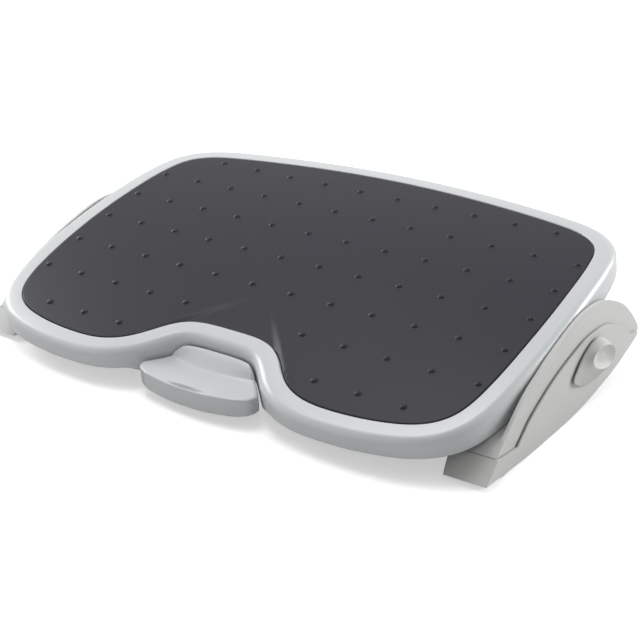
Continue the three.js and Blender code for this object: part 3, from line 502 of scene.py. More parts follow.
def turned(name, profile, steps=48):
    """Spins a closed profile of (radius, height) points about Z."""
    bpy.ops.mesh.primitive_circle_add(vertices=len(profile), radius=1)
    piece = bpy.context.object
    piece.name = name
    for vertex, (radius, height) in zip(piece.data.vertices, profile):
        vertex.co = (radius, 0, height)
    edit_all(piece)
    bpy.ops.mesh.spin(steps=steps, angle=2 * math.pi, center=(0, 0, 0), axis=(0, 0, 1))
    bpy.ops.mesh.select_all(action="SELECT")
    bpy.ops.mesh.remove_doubles(threshold=0.000002)
    bpy.ops.mesh.delete_loose(use_verts=False, use_edges=True, use_faces=False)
    close_outwards()
    return piece


def grained(name, colour, roughness, metallic, scale, depth, stretch=(1, 1, 1)):
    """A finish with a fine pattern: drawn lines in metal, a matt skin on rubber or nylon."""
    material, tree, shader, place = new_finish(name)
    shader.inputs["Metallic"].default_value = metallic
    stretched = tree.nodes.new("ShaderNodeMapping")
    stretched.inputs["Scale"].default_value = stretch
    tree.links.new(place, stretched.inputs["Vector"])
    pattern = noise(tree, stretched.outputs["Vector"], scale, 4)
    vary(tree, pattern, colour, (0.88, 1.08), roughness, 0.06)
    emboss(tree, pattern, 0.5, depth)
    return material


pad_rubber = grained("pad_rubber", (0.018, 0.018, 0.02), 0.75, 0, 900, 0.00003)
for end in ("front", "rear"):
    for hand in ("right", "left"):
        node = f"foot_pad_{end}_{hand}"
        low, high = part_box(node)
        pad = turned(f"rubber_foot_{end}_{hand}", pad_profile, 40)
        set_down(pad, place=((low.x + high.x) / 2, (low.y + high.y) / 2, 0))
        soften(pad)
        fit(pad, pad_rubber, "base", node)

# Crossbars, pivot rod and their fastenings
# Bright drawn steel bars join the two cheeks, each held by a pan head screw at either end.
# The pivot rod runs from knob to knob through a spacer tube, with a nylon washer at each arm.
bar_chamfer = 0.0006
washer_chamfer = 0.0002
rod_clearance = 0.0043
screw_shank = 0.002
screw_head = 0.0012
slot_depth = 0.0016
along_x = (0, math.pi / 2, 0)
bar_steel = grained("drawn_steel", (0.56, 0.57, 0.58), 0.27, 1, 700, 0.00001, (0.05, 1, 1))
zinc_steel = grained("zinc_plated_steel", (0.34, 0.35, 0.36), 0.4, 1, 260, 0.00001)
nylon = grained("natural_nylon", (0.76, 0.74, 0.68), 0.5, 0, 500, 0.00002)


def tube_profile(bore, radius, length, chamfer):
    """The section of a chamfered tube, or of a solid bar where there is no bore."""
    return [
        (bore, 0), (radius - chamfer, 0), (radius, chamfer),
        (radius, length - chamfer), (radius - chamfer, length), (bore, length),
    ]


def bar(name, node, finish, body, bore=0, chamfer=bar_chamfer, steps=48):
    """A bar or tube along X in the place of its solid, with its ends chamfered."""
    low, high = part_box(node)
    radius = (high.z - low.z) / 2
    length = high.x - low.x
    piece = turned(name, tube_profile(bore, radius, length, chamfer), steps)
    set_down(piece, along_x, (low.x, (low.y + high.y) / 2, (low.z + high.z) / 2))
    fit(soften(piece), finish, body, node)


for name, node in (
    ("crossbar_front_bar", "crossbar_front"),
    ("crossbar_rear_bar", "crossbar_rear"),
    ("pivot_shaft", "pivot_rod"),
):
    bar(name, node, bar_steel, "base")
bar("spacer_sleeve", "pivot_spacer_tube", zinc_steel, "base", rod_clearance)
for hand in ("right", "left"):
    washer = "washer_disc_" + hand
    bar(washer, "friction_washer_" + hand, nylon, "base", rod_clearance, washer_chamfer)


def block(name, size, place, turn=(0, 0, 0)):
    bpy.ops.mesh.primitive_cube_add(size=1)
    piece = bpy.context.object
    piece.name = name
    piece.scale = size
    return set_down(piece, turn, place)


def pan_screw(name, node, side, body):
    """A pan head screw along X, with a domed head outwards and a cross recess in it."""
    low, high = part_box(node)
    length = high.x - low.x
    radius = (high.z - low.z) / 2
    neck = length - screw_head
    screw = turned(name, [
        (0, 0), (screw_shank - 0.0005, 0), (screw_shank, 0.0006), (screw_shank, neck), (radius, neck),
        (radius, length - 0.0007), (radius - 0.0005, length - 0.0002), (screw_shank, length), (0, length),
    ], 40)
    for turn in (0, math.pi / 2):
        slot_size = (screw_shank * 1.7, screw_shank * 0.34, slot_depth)
        combine(screw, block("cross_slot", slot_size, (0, 0, length), (0, 0, turn)), "DIFFERENCE")
    start = low.x if side > 0 else high.x
    set_down(screw, (0, side * math.pi / 2, 0), (start, (low.y + high.y) / 2, (low.z + high.z) / 2))
    fit(soften(screw), zinc_steel, body, node)


for end in ("front", "rear"):
    for side, hand in ((1, "right"), (-1, "left")):
        pan_screw(f"bar_screw_{end}_{hand}", f"crossbar_screw_{end}_{hand}", side, "base")

# Arms
# Each arm is a channel of the cheeks' plastic, open downwards, whose outer plate stands beside the rim.
# It swings on the pivot rod in a nylon bush, and its sloping front end rests on the cheek's toe.
arm_outer_face = 0.2666
arm_plate = 0.003
arm_inner_face = 0.231
arm_web = 0.0026
arm_front = 0.178
arm_rear = 0.1067
arm_crest = 0.0902
arm_rest = 0.00045
hub_radius = 0.011
hub_inset = 0.0005
bush_radius = 0.0063
bush_bore = 0.00415
bush_chamfer = 0.0003
bore_start = 0.007
bore_length = 0.05
arm_edge_round = 0.0009
platform_tilt = math.radians(14.3)
rim_above_pivot = 0.0238
web_gap = 0.001
web_back = 0.044
arm_shares = [
    (-0.665, 0.582), (-0.6, 0.654), (-0.522, 0.72), (-0.454, 0.779), (-0.371, 0.838), (-0.291, 0.889),
    (-0.209, 0.938), (-0.118, 0.98), (-0.017, 1), (0.131, 0.989), (0.26, 0.96), (0.395, 0.912),
    (0.525, 0.85), (0.653, 0.772), (0.74, 0.706), (0.82, 0.63), (0.9, 0.55), (0.962, 0.477),
    (1.008, 0.421), (1.035, 0.37), (1.03, 0.332), (0.97, 0.31), (0.787, 0.31), (0.553, 0.277),
    (0.366, 0.288), (0.141, 0.3), (-0.096, 0.3), (-0.202, 0.366), (-0.343, 0.377), (-0.483, 0.322),
    (-0.596, 0.255),
]


def under_rim(back, below):
    """The point at a place behind the pivot on the rim's lower plane, or on one that much below it."""
    rise = rim_above_pivot - below + back * math.sin(platform_tilt)
    return (pivot.y + back, pivot.z + rise / math.cos(platform_tilt))


def slope_meets_underside(below):
    """How far behind the pivot the sloping front end meets the plane under the rim."""
    reach = (under_rim(-cheek_front, below)[1] - toe_tip_height) * math.cos(platform_tilt)
    reach /= math.sin(toe_slope - platform_tilt)
    return -cheek_front + reach * math.cos(toe_slope)


arm_foot = (front_slope(toe_height + arm_rest), toe_height + arm_rest)
arm_heel = (pivot.y - toe_rear, toe_rear_height + arm_rest)
band_points = [arm_foot] + from_shares(arm_shares, arm_front, arm_rear, arm_crest) + [arm_heel]
arm = side_plate(
    "arm_moulding_right", band_points, arm_outer_face - arm_plate, arm_outer_face,
    sharp=(0, len(band_points) - 1), shortest=arm_edge_round * 1.2,
)
front_end = slope_meets_underside(web_gap)
web_end = slope_meets_underside(web_gap + arm_web) + arm_plate
web_low = arm_foot[0] + arm_plate * 1.5
web_points = [
    arm_foot,
    under_rim(front_end, web_gap),
    under_rim(web_back, web_gap),
    under_rim(web_back, web_gap + arm_web),
    under_rim(web_end, web_gap + arm_web),
    (web_low, toe_top(web_low) + arm_rest),
]
web = side_plate("arm_web", web_points, arm_inner_face + arm_plate / 3, arm_outer_face - arm_plate / 3)
inner_arm_points = [
    arm_foot,
    under_rim(front_end, web_gap),
    under_rim(hub_radius * 2.5, web_gap),
    (pivot.y + hub_radius * 1.3, pivot.z - hub_radius / 3),
    (pivot.y, pivot.z - hub_radius * 1.2),
    (pivot.y - hub_radius * 1.3, pivot.z - hub_radius),
    (pivot.y - arm_front / 2, toe_height + hub_radius / 2),
    arm_heel,
]
inner_arm = side_plate(
    "arm_inner_plate", inner_arm_points, arm_inner_face, arm_inner_face + arm_plate,
    sharp=(0, 1, 2, 6, 7),
)
combine(arm, web, "UNION")
combine(arm, inner_arm, "UNION")


def rod_along_x(name, radius, length, place, steps):
    """A plain round rod that starts at the place, to be welded on or cut out."""
    return set_down(turned(name, [(0, 0), (radius, 0), (radius, length), (0, length)], steps), along_x, place)


hub_length = arm_outer_face - arm_inner_face - hub_inset * 2
hub = rod_along_x("arm_hub", hub_radius, hub_length, (arm_inner_face + hub_inset, pivot.y, pivot.z), 64)
combine(arm, hub, "UNION")
bore_place = (arm_inner_face - bore_start, pivot.y, pivot.z)
bore = rod_along_x("arm_bore", bush_radius, bore_length, bore_place, 48)
combine(arm, bore, "DIFFERENCE")
arm_left = mirrored(arm, "arm_moulding_left")
for piece, hand in ((arm, "right"), (arm_left, "left")):
    soften(piece, arm_edge_round)
    fit(piece, side_plastic, "yoke", "arm_" + hand)
    bar("bush_sleeve_" + hand, "arm_bush_" + hand, nylon, "yoke", bush_bore, bush_chamfer)

# Yoke tube and tilt quadrants
# A bright tube screwed between the arms carries two toothed steel quadrants, stamped from sheet.
# The platform hinges at their front ends, and the lock's pawls catch in their teeth.
yoke_bore = 0.0036
stamped_edge = 0.0003
bar("yoke_cross_tube", "yoke_tube", bar_steel, "yoke", yoke_bore)
for side, hand in ((1, "right"), (-1, "left")):
    pan_screw("tube_screw_" + hand, "yoke_screw_" + hand, side, "yoke")


def stamped(name, node, finish, body, radius=stamped_edge):
    """The plain solid's own shape with its edges broken."""
    piece = twin(frame["nodes"][node])
    piece.name = name
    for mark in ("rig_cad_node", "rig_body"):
        if mark in piece:
            del piece[mark]
    piece.parent = None
    fit(soften(piece, radius, 2), finish, body, node)


for hand in ("right", "left"):
    stamped("toothed_quadrant_" + hand, "tilt_quadrant_" + hand, zinc_steel, "yoke")

# Platform moulding
# The platform is one moulding in cooler grey: a soft rim round a pocket for the mat, with a thin deck,
# three cross ribs and lugs for the pins under it. It is gently arched from front to back.
mat_half_width = 0.2436
mat_back_depth = 0.168
mat_front_depth = 0.1585
mat_thickness = 0.0035
arch_radius = 1.44
hinge_forward = 0.155
hinge_below = 0.021
rim_width = 0.0195
rim_round = 0.007
rim_proud = 0.0003
notch_front = -0.1
notch_half = 0.15
notch_lean = 0.0024
notch_drop = 0.0105
drop_start = 0.03
drop_start_run = 0.022
drop_end = 0.078
drop_end_run = 0.018
window_size = (0.035, 0.016, 0.012)
window_lift = 0.0045
lip_round = 0.0012
rim_depth = 0.027
shell_wall = 0.003
deck_thickness = 0.0027
mat_gap = 0.0008
bed_level = -mat_thickness - 0.00035
deck_foot = -mat_thickness - deck_thickness - 0.00025
deck_half_width = 0.2355
deck_front = -0.152
deck_back = 0.165
rib_thickness = 0.0024
rib_foot = 0.022
rib_edge = 0.0004
rib_half_length = 0.226
cross_rib_places = (-0.062, 0.03, 0.118)
edge_samples = 336
edge_smoothings = 6
mat_outline_shares = [
    (0, 1), (0.155, 0.995), (0.305, 0.98), (0.435, 0.96), (0.55, 0.937), (0.66, 0.911), (0.772, 0.878),
    (0.846, 0.848), (0.903, 0.802), (0.941, 0.747), (0.961, 0.69), (0.972, 0.613), (0.984, 0.488),
    (0.994, 0.274), (1, 0.04), (0.999, -0.17), (0.994, -0.391), (0.984, -0.568), (0.971, -0.694),
    (0.948, -0.801), (0.908, -0.877), (0.85, -0.93), (0.772, -0.965), (0.665, -0.991), (0.562, -1),
    (0.48, -0.996), (0.42, -0.977), (0.367, -0.94), (0.32, -0.886), (0.279, -0.82), (0.238, -0.752),
    (0.19, -0.7), (0.131, -0.676), (0.066, -0.669), (0, -0.669),
]
tilt_turn = Matrix.Rotation(platform_tilt, 3, "X")
mat_centre = places["platform_tilt"] - tilt_turn @ Vector((0, -hinge_forward, -hinge_below))


def arch_drop(y):
    return -y * y / (2 * arch_radius)


def line_spots(points, sharp=()):
    """The places along a smooth line through the points."""
    line = draw_outline("line", points, sharp, 8)
    spots = [vertex.co.to_2d() for vertex in line.data.vertices]
    bpy.data.objects.remove(line)
    return spots


def even_edge():
    """The mat's edge at even steps, counter-clockwise, with its outward direction."""
    half = [
        (across * mat_half_width, along * (mat_back_depth if along > 0 else mat_front_depth))
        for across, along in mat_outline_shares
    ]
    other = [(-x, y) for x, y in reversed(half[1:-1])]
    spots = line_spots(list(reversed(half + other)))
    closed = spots + [spots[0]]
    lengths = [0]
    for here, there in zip(closed, closed[1:]):
        lengths.append(lengths[-1] + (there - here).length)
    even = []
    segment = 0
    for number in range(edge_samples):
        target = lengths[-1] * number / edge_samples
        while lengths[segment + 1] < target:
            segment += 1
        share = (target - lengths[segment]) / (lengths[segment + 1] - lengths[segment])
        even.append(closed[segment].lerp(closed[segment + 1], share))
    for turn in range(edge_smoothings):
        even = [
            even[i] * 0.5 + (even[i - 1] + even[(i + 1) % edge_samples]) * 0.25 for i in range(edge_samples)
        ]
    outward = []
    for i in range(edge_samples):
        way = (even[(i + 1) % edge_samples] - even[i - 1]).normalized()
        outward.append(Vector((way.y, -way.x)))
    return list(zip(even, outward))


mat_edge = even_edge()


def edge_ring(offset, height):
    return [(spot.x + out.x * offset, spot.y + out.y * offset, height) for spot, out in mat_edge]


def start_ring(name, ring):
    """A closed loop of edges through the ring's points."""
    bpy.ops.mesh.primitive_circle_add(vertices=len(ring), radius=1)
    piece = bpy.context.object
    piece.name = name
    for vertex, spot in zip(piece.data.vertices, ring):
        vertex.co = spot
    return piece


def pull_ring(piece, ring):
    """Extrudes the last loop of edges and sets the new loop on the ring."""
    mesh = piece.data
    count = len(ring)
    start = len(mesh.vertices)
    order = {tuple(mesh.vertices[i].co): i - (start - count) for i in range(start - count, start)}
    edit_all(piece)
    bpy.ops.mesh.select_all(action="DESELECT")
    close_mesh()
    for i in range(start - count, start):
        mesh.vertices[i].select = True
    bpy.ops.object.mode_set(mode="EDIT")
    bpy.ops.mesh.extrude_region()
    close_mesh()
    mesh = piece.data
    numbers = [order[tuple(mesh.vertices[i].co)] for i in range(start, start + count)]
    for i, number in zip(range(start, start + count), numbers):
        mesh.vertices[i].co = ring[number]
    return numbers


def swept(name, rings):
    """A skin over the rings, in their order."""
    piece = start_ring(name, rings[0])
    shuffle = list(range(len(rings[0])))
    for ring in rings[1:]:
        ordered = [ring[number] for number in shuffle]
        numbers = pull_ring(piece, ordered)
        shuffle = [shuffle[number] for number in numbers]
    return piece


def ruled(piece, places, along):
    """Cuts straight lines across the piece, so that it can bend smoothly."""
    direction = Vector((0, 0, 0))
    direction[along] = 1
    edit_all(piece)
    for place in places:
        bpy.ops.mesh.select_all(action="SELECT")
        bpy.ops.mesh.bisect(plane_co=direction * place, plane_no=direction)
    close_mesh()


def steps_between(low, high, step):
    count = round((high - low) / step)
    return [low + (high - low) * i / count for i in range(count + 1)]


def onto_tilt(piece):
    set_down(piece, (platform_tilt, 0, 0), mat_centre)


lip_turns = [math.radians(angle) for angle in (0, 30, 60, 90)]
shoulder_turns = [math.radians(angle) for angle in range(0, 91, 10)]
wall_top = rim_proud - rim_round + 0.0001
arched_profile = [(-0.004, deck_foot), (-0.004, bed_level), (mat_gap, bed_level)]
for turn in lip_turns:
    height = rim_proud - lip_round * (1 - math.sin(turn))
    arched_profile.append((mat_gap + lip_round * (1 - math.cos(turn)), height))
arched_profile += [(0.005, rim_proud + 0.0001), (0.009, rim_proud + 0.00015)]
for turn in shoulder_turns:
    height = wall_top + rim_round * math.cos(turn)
    arched_profile.append((rim_width - rim_round * (1 - math.sin(turn)), height))
foot_profile = [
    (rim_width, -rim_depth + 0.0009), (rim_width - 0.0003, -rim_depth + 0.0003),
    (rim_width - 0.0009, -rim_depth), (rim_width - shell_wall + 0.0006, -rim_depth),
    (rim_width - shell_wall, -rim_depth + 0.0006),
]
under_profile = [
    (rim_width - shell_wall, wall_top - shell_wall), (rim_width - shell_wall - 0.0006, wall_top - 0.0007),
    (rim_width - shell_wall - 0.0019, wall_top + 0.0015), (rim_width - rim_round, -shell_wall + 0.00005),
    (mat_gap + shell_wall, -shell_wall), (mat_gap + 0.001, -mat_thickness - 0.0012),
    (-0.0016, deck_foot),
]
rings = []
for profile, arched in ((arched_profile, True), (foot_profile, False), (under_profile, True)):
    for offset, height in profile:
        ring = edge_ring(offset, height)
        if height < 0.002 - rim_depth:
            for number, (x, y, z) in enumerate(ring):
                if y < notch_front:
                    share = clamped((abs(x) - drop_start) / drop_start_run)
                    share *= clamped((drop_end - abs(x)) / drop_end_run) ** 1.3
                    ring[number] = (x, y, z - notch_drop * share)
        if offset > rim_width - shell_wall - 0.0001:
            lean = notch_lean * clamped(-height / rim_depth)
            for number, (spot, out) in enumerate(mat_edge):
                if abs(spot.x) < notch_half and spot.y < notch_front:
                    x, y, z = ring[number]
                    facing = clamped(-1.4 * out.x * (1 if spot.x > 0 else -1))
                    ring[number] = (x + out.x * lean * facing, y + out.y * lean * facing, z)
        rings.append([(x, y, z + arch_drop(y)) if arched else (x, y, z) for x, y, z in ring])
rings.append(rings[0])
shell = swept("platform_moulding", rings)
edit_all(shell)
bpy.ops.mesh.remove_doubles(threshold=touching)
close_outwards()

notch_back = min(spot.y for spot, out in mat_edge if abs(spot.x) < 0.004 and spot.y < 0)
window = block("window", window_size, (0, notch_back - rim_width, -rim_depth + window_lift))
combine(shell, window, "DIFFERENCE")

deck = start_ring("deck", edge_ring(-0.001, -mat_thickness - 0.0003))
thicken(deck, -deck_thickness)
ruled(deck, steps_between(-deck_half_width, deck_half_width, 0.01), 0)
ruled(deck, steps_between(deck_front, deck_back, 0.0075), 1)
for vertex in deck.data.vertices:
    vertex.co.z += arch_drop(vertex.co.y)

under_pieces = [deck]
rib_top = mat_thickness + deck_thickness / 2


def under_block(name, x, y, foot, top):
    """A block under the deck, from its foot up into the deck."""
    size = (x[1] - x[0], y[1] - y[0], top + foot)
    return block(name, size, ((x[0] + x[1]) / 2, (y[0] + y[1]) / 2, (top - foot) / 2))


for y in cross_rib_places:
    rib = under_block(
        "rib", (-rib_half_length, rib_half_length), (y - rib_thickness / 2, y + rib_thickness / 2),
        rib_foot, arch_drop(y) - rib_top,
    )
    soften(rib, rib_edge, 2)
    under_pieces.append(rib)


lug_thickness = 0.003
hinge_place = 0.185
hinge_fork = 0.006
hinge_lug_radius = 0.005
lock_lugs = (0.042, 0.1975)
lock_lug_y = -0.107
lock_lug_radius = 0.0043
lock_below = 0.016
pedal_lug = 0.0235
pedal_lug_radius = 0.004
pedal_pin_y = -0.118
pedal_pin_below = 0.022
pin_hole = 0.00265
pedal_pin_hole = 0.00215
drill_length = 0.02


def lug(x, y, pin_below, radius, bore):
    """A lug under the deck with a round end about its pin, and the pin's hole."""
    top = arch_drop(y) - rib_top
    turns = [math.pi * i / 12 for i in range(13)]
    arc = [(y + radius * math.cos(turn), -pin_below - radius * math.sin(turn)) for turn in turns]
    points = [(y - radius, top), (y + radius, top)] + arc
    plate = side_plate("lug", points, x - lug_thickness / 2, x + lug_thickness / 2)
    drill = rod_along_x("drill", bore, drill_length, (x - drill_length / 2, y, -pin_below), 32)
    combine(plate, drill, "DIFFERENCE")
    soften(plate, stamped_edge, 2)
    under_pieces.append(plate)


for side in (1, -1):
    for way in (hinge_fork, -hinge_fork):
        lug(side * hinge_place + way, -hinge_forward, hinge_below, hinge_lug_radius, pin_hole)
    for place in lock_lugs:
        lug(side * place, lock_lug_y, lock_below, lock_lug_radius, pin_hole)
    lug(side * pedal_lug, pedal_pin_y, pedal_pin_below, pedal_lug_radius, pedal_pin_hole)
soften(shell)
join(shell, *under_pieces)
onto_tilt(shell)
rim_plastic = moulded_plastic("rim_plastic", (0.6, 0.62, 0.63), 0.29, 0.3, 0.6)
fit(shell, rim_plastic, "platform", "platform_shell")

# Foot mat
# A pad of charcoal rubber lies in the pocket, with a dark groove all round it.
# It is moulded with a lattice of small domes and a dished place at the notch.
mat_edge_round = 0.001
dome_pitch_across = 0.042
dome_pitch_along = 0.0449
dome_radius = 0.0041
dome_ball = 0.0042
dome_height = 0.0018
dome_sunk = 0.0006
dome_rows = ((3, 0.5, 5), (2, 0.5, 6), (1, 0.5, 6), (0, 0.5, 6), (-1, 0.5, 6), (-2, 1.5, 5), (-3, 2.5, 3))
dish_apex_y = -0.059
dish_apex_half = 0.0115
dish_far_y = -0.109
dish_far_half = 0.0545
dish_depth = 0.0025
dish_slope = 0.0085
dish_start = -0.3
dish_limit = 1.1
crease = 0.08
mat_fine_step = 0.002


def rounded_step(value, bend):
    """Runs from 0 to 1 with its two bends rounded."""
    risen = (value + math.hypot(value, bend)) / 2
    left = 1 - risen
    return clamped(1 - (left + math.hypot(left, bend)) / 2)


def dish_fall(x, y):
    share = (dish_apex_y - y) / (dish_apex_y - dish_far_y)
    if share < dish_start:
        return 0
    half = dish_apex_half + share * (dish_far_half - dish_apex_half)
    inside = (half - abs(x)) / dish_slope
    floor_share = (share + math.hypot(share, crease)) / 2
    return dish_depth * min(floor_share, dish_limit) * rounded_step(inside, crease)


mat = start_ring("rubber_mat", edge_ring(0, 0))
thicken(mat, -mat_thickness)
edit_all(mat)
bpy.ops.mesh.select_all(action="DESELECT")
bpy.ops.mesh.select_mode(type="FACE")
close_mesh()
for face in mat.data.polygons:
    face.select = face.normal.z > 0.9
bpy.ops.object.mode_set(mode="EDIT")
bpy.ops.mesh.region_to_loop()
bpy.ops.mesh.bevel(offset=mat_edge_round, segments=4, affect="EDGES")
close_mesh()
wide_steps = steps_between(0.0805, 0.2365, 0.0078)
fine_steps = steps_between(-0.0741, 0.0741, mat_fine_step)
ruled(mat, [-place for place in wide_steps] + fine_steps + wide_steps, 0)
ruled(mat, steps_between(-0.1521, -0.0499, mat_fine_step) + steps_between(-0.0431, 0.1649, 0.007), 1)
for vertex in mat.data.vertices:
    x, y, z = vertex.co
    vertex.co.z += arch_drop(y)
    if z > -mat_thickness / 2:
        vertex.co.z -= dish_fall(x, y)

dome_profile = [(0, dome_height)]
for angle in range(8, 57, 8):
    turn = math.radians(angle)
    dome_profile.append((dome_ball * math.sin(turn), dome_height - dome_ball * (1 - math.cos(turn))))
dome_profile += [(dome_radius - 0.00035, 0), (dome_radius, -0.00005)]
dome_profile += [(dome_radius, -dome_sunk), (0, -dome_sunk)]
dome_places = [
    (side * (first + i) * dome_pitch_across, row * dome_pitch_along)
    for row, first, count in dome_rows for i in range(count) for side in (1, -1)
]
domes = [turned("dome", dome_profile, 20)]
bpy.ops.object.shade_smooth()
domes += [twin(domes[0]) for place in dome_places[1:]]
for dome, (x, y) in zip(domes, dome_places):
    set_down(dome, (math.atan(-y / arch_radius), 0, 0), (x, y, arch_drop(y) - dish_fall(x, y)))
soften(mat, angle=math.radians(50))
join(mat, *domes)
onto_tilt(mat)
mat_rubber = moulded_plastic("mat_rubber", (0.0175, 0.017, 0.0255), 0.4, 0.6, 0.2)
fit(mat, mat_rubber, "platform", "foot_mat")

# Pedal
# The foot pedal fills the notch: a scooped cap in the rim's grey that is pressed to free the lock.
# A raised back follows the notch, and the tread in front of it slopes down a little.
# A neck behind it turns on a steel pin.
pedal_half = 0.0615
pedal_skirt = 0.034
pedal_middle = -0.155
ridge_level = -0.013
tread_level = -0.0214
tread_slope = 0.16
wall_lean = 0.12
pedal_gap = 0.0018
end_gap = 0.0022
end_gap_start = 0.034
end_gap_run = 0.012
end_turn = 0.0024
end_turn_start = 0.052
pedal_wall = 0.0026
pedal_bow = [
    (0, -0.1788), (0.012, -0.1787), (0.022, -0.1778), (0.031, -0.1763), (0.039, -0.1748), (0.046, -0.1731),
    (0.0526, -0.1703), (0.0577, -0.1669), (0.0604, -0.163), (pedal_half, -0.1585),
]
scoop_middle = -0.1464
scoop_end = -0.1385
scoop_half = 0.046
scoop_end_run = 0.012
ridge_width = 0.0035
ridge_least_run = 0.0016
pedal_crease = 0.2
front_round = 0.002
front_round_end = -0.164
front_round_run = 0.008
ridge_round = 0.0024
end_round = 0.0034
end_round_start = 0.036
end_round_run = 0.01
dip_half = 0.0255
dip_depth = 0.0032
dip_back = 0.0022
dip_bulge = 0.0036
dip_back_run = 0.0014
dip_front = 0.0014
dip_front_run = 0.0024
knuckle_radius = 0.004
knuckle_length = 0.032
knuckle_chamfer = 0.0004
neck_edge = 0.0005

gap_ring = edge_ring(rim_width + pedal_gap, 0)
gap_line = sorted((x, y) for x, y, z in gap_ring if abs(x) < 0.075 and y < notch_front)
bow_points = [(-x, y) for x, y in reversed(pedal_bow[1:])] + pedal_bow
front_line = sorted(tuple(spot) for spot in line_spots(bow_points, (0, len(bow_points) - 1)))


def level_at(line, x):
    """Reads y at x from a line of points sorted by x."""
    for (low_x, low_y), (high_x, high_y) in zip(line, line[1:]):
        if low_x <= x <= high_x and high_x > low_x:
            return low_y + (high_y - low_y) * (x - low_x) / (high_x - low_x)
    return line[0][1] if x < line[0][0] else line[-1][1]


def pedal_back(x):
    """The pedal's back edge: along the rim, then drawing away from it towards the rounded ends."""
    away = end_gap * clamped((abs(x) - end_gap_start) / end_gap_run)
    turn = end_turn * clamped((abs(x) - end_turn_start) / (pedal_half - end_turn_start)) ** 2
    return level_at(gap_line, x) - away - turn


column_count = 120
row_count = 84
row_crowding = 0.93
bpy.ops.mesh.primitive_grid_add(x_subdivisions=column_count, y_subdivisions=row_count, size=2)
pedal = bpy.context.object
pedal.name = "pedal_cap"
rim_spots = []
for vertex in pedal.data.vertices:
    column = round((vertex.co.x + 1) / 2 * column_count)
    share = round((1 - vertex.co.y) / 2 * row_count) / row_count
    row = share - row_crowding * math.sin(2 * math.pi * share) / (2 * math.pi)
    x = -pedal_half * math.cos(math.pi * column / column_count)
    back = pedal_back(x)
    front = min(level_at(front_line, x), back - 0.0002)
    vertex.co = (x, back + (front - back) * row, 0)
    if column in (0, column_count) or share in (0, 1):
        rim_spots.append(vertex.co.copy())
edge_tree = KDTree(len(rim_spots))
for number, spot in enumerate(rim_spots):
    edge_tree.insert(spot, number)
edge_tree.balance()


def pedal_height(x, y):
    """The cap's top: the sloping tread, the scooped ridge behind it and the crescent dip at its front."""
    across = min(abs(x) / scoop_half, 1)
    base = scoop_middle + (scoop_end - scoop_middle) * across ** 2.2
    run = max(pedal_back(x) - ridge_width - base, ridge_least_run)
    rise = rounded_step((y - base) / run, pedal_crease)
    ends = rounded_step((scoop_half + 0.001 - abs(x)) / scoop_end_run, pedal_crease)
    tread = tread_level + tread_slope * max(scoop_middle - y, 0)
    height = tread + (ridge_level - tread) * rise * ends
    along = x / dip_half
    if abs(along) < 1:
        deep = 1 - along * along
        front = level_at(front_line, x)
        behind = (front + dip_back + dip_bulge * deep - y) / dip_back_run
        ahead = (y - front - dip_front) / dip_front_run
        height -= dip_depth * deep ** 0.5 * rounded_step(behind, 0.2) * rounded_step(ahead, 0.3)
    return height


for vertex in pedal.data.vertices:
    x, y, z = vertex.co
    spot, number, edge = edge_tree.find(vertex.co)
    back_round = ridge_round + (end_round - ridge_round) * clamped((abs(x) - end_round_start) / end_round_run)
    radius = front_round + (back_round - front_round) * clamped((y - front_round_end) / front_round_run)
    height = pedal_height(x, y)
    if edge < radius:
        height -= radius - math.sqrt(radius ** 2 - (radius - edge) ** 2)
    vertex.co.z = height
for low, shrink in ((-pedal_skirt + 0.0008, 0), (-pedal_skirt + 0.0002, 0.0002), (-pedal_skirt, 0.0008)):
    edit_all(pedal)
    bpy.ops.mesh.region_to_loop()
    bpy.ops.mesh.extrude_region()
    close_mesh()
    middle = Vector((0, pedal_middle, low))
    for vertex in pedal.data.vertices:
        if vertex.select:
            lean = wall_lean * (vertex.co.z - low)
            vertex.co = (vertex.co.x, vertex.co.y - lean, low)
            vertex.co += (middle - vertex.co).normalized() * shrink
edit_all(pedal)
close_outwards()
if sum(face.normal.z * face.area for face in pedal.data.polygons) < 0:
    edit_all(pedal)
    bpy.ops.mesh.flip_normals()
    close_mesh()
apply_modifier(pedal, "SOLIDIFY", thickness=pedal_wall, offset=-1, use_even_offset=False)
soften(pedal, angle=math.radians(50))
neck_parts = [
    ((-0.016, 0.016), (-0.1293, -0.118), 0.025, -0.018),
    ((-0.009, 0.009), (-0.118, -0.0985), 0.0232, -0.0202),
    ((-0.009, 0.009), (-0.1007, -0.0985), 0.0232, -0.0178),
]
for x, y, foot, top in neck_parts:
    part = under_block("pedal_neck", x, y, foot, top)
    soften(part, neck_edge, 2)
    join(pedal, part)
knuckle = turned("knuckle", tube_profile(pedal_pin_hole, knuckle_radius, knuckle_length, knuckle_chamfer))
set_down(knuckle, along_x, (-knuckle_length / 2, pedal_pin_y, -pedal_pin_below))
soften(knuckle)
join(pedal, knuckle)
onto_tilt(pedal)
fit(pedal, rim_plastic, "pedal", "pedal")

# Pins, lock bar, pawls and spring
# The pedal lifts a crank on the lock bar, and the bar turns two pawls out of the quadrants' teeth.
# A small wire spring turns it back when the pedal is let go.
pin_chamfer = 0.0005
for name, node in (
    ("hinge_pin_shaft_right", "hinge_pin_right"),
    ("hinge_pin_shaft_left", "hinge_pin_left"),
    ("pedal_pin_shaft", "pedal_pin"),
):
    bar(name, node, bar_steel, "platform", 0, pin_chamfer, 40)
stamped("lock_shaft", "lock_bar", bar_steel, "lock_bar")
for hand in ("right", "left"):
    stamped("pawl_" + hand, "lock_pawl_" + hand, zinc_steel, "lock_bar")
spring = frame["nodes"]["lock_spring"]
spring.data.materials.clear()
spring.data.materials.append(zinc_steel)

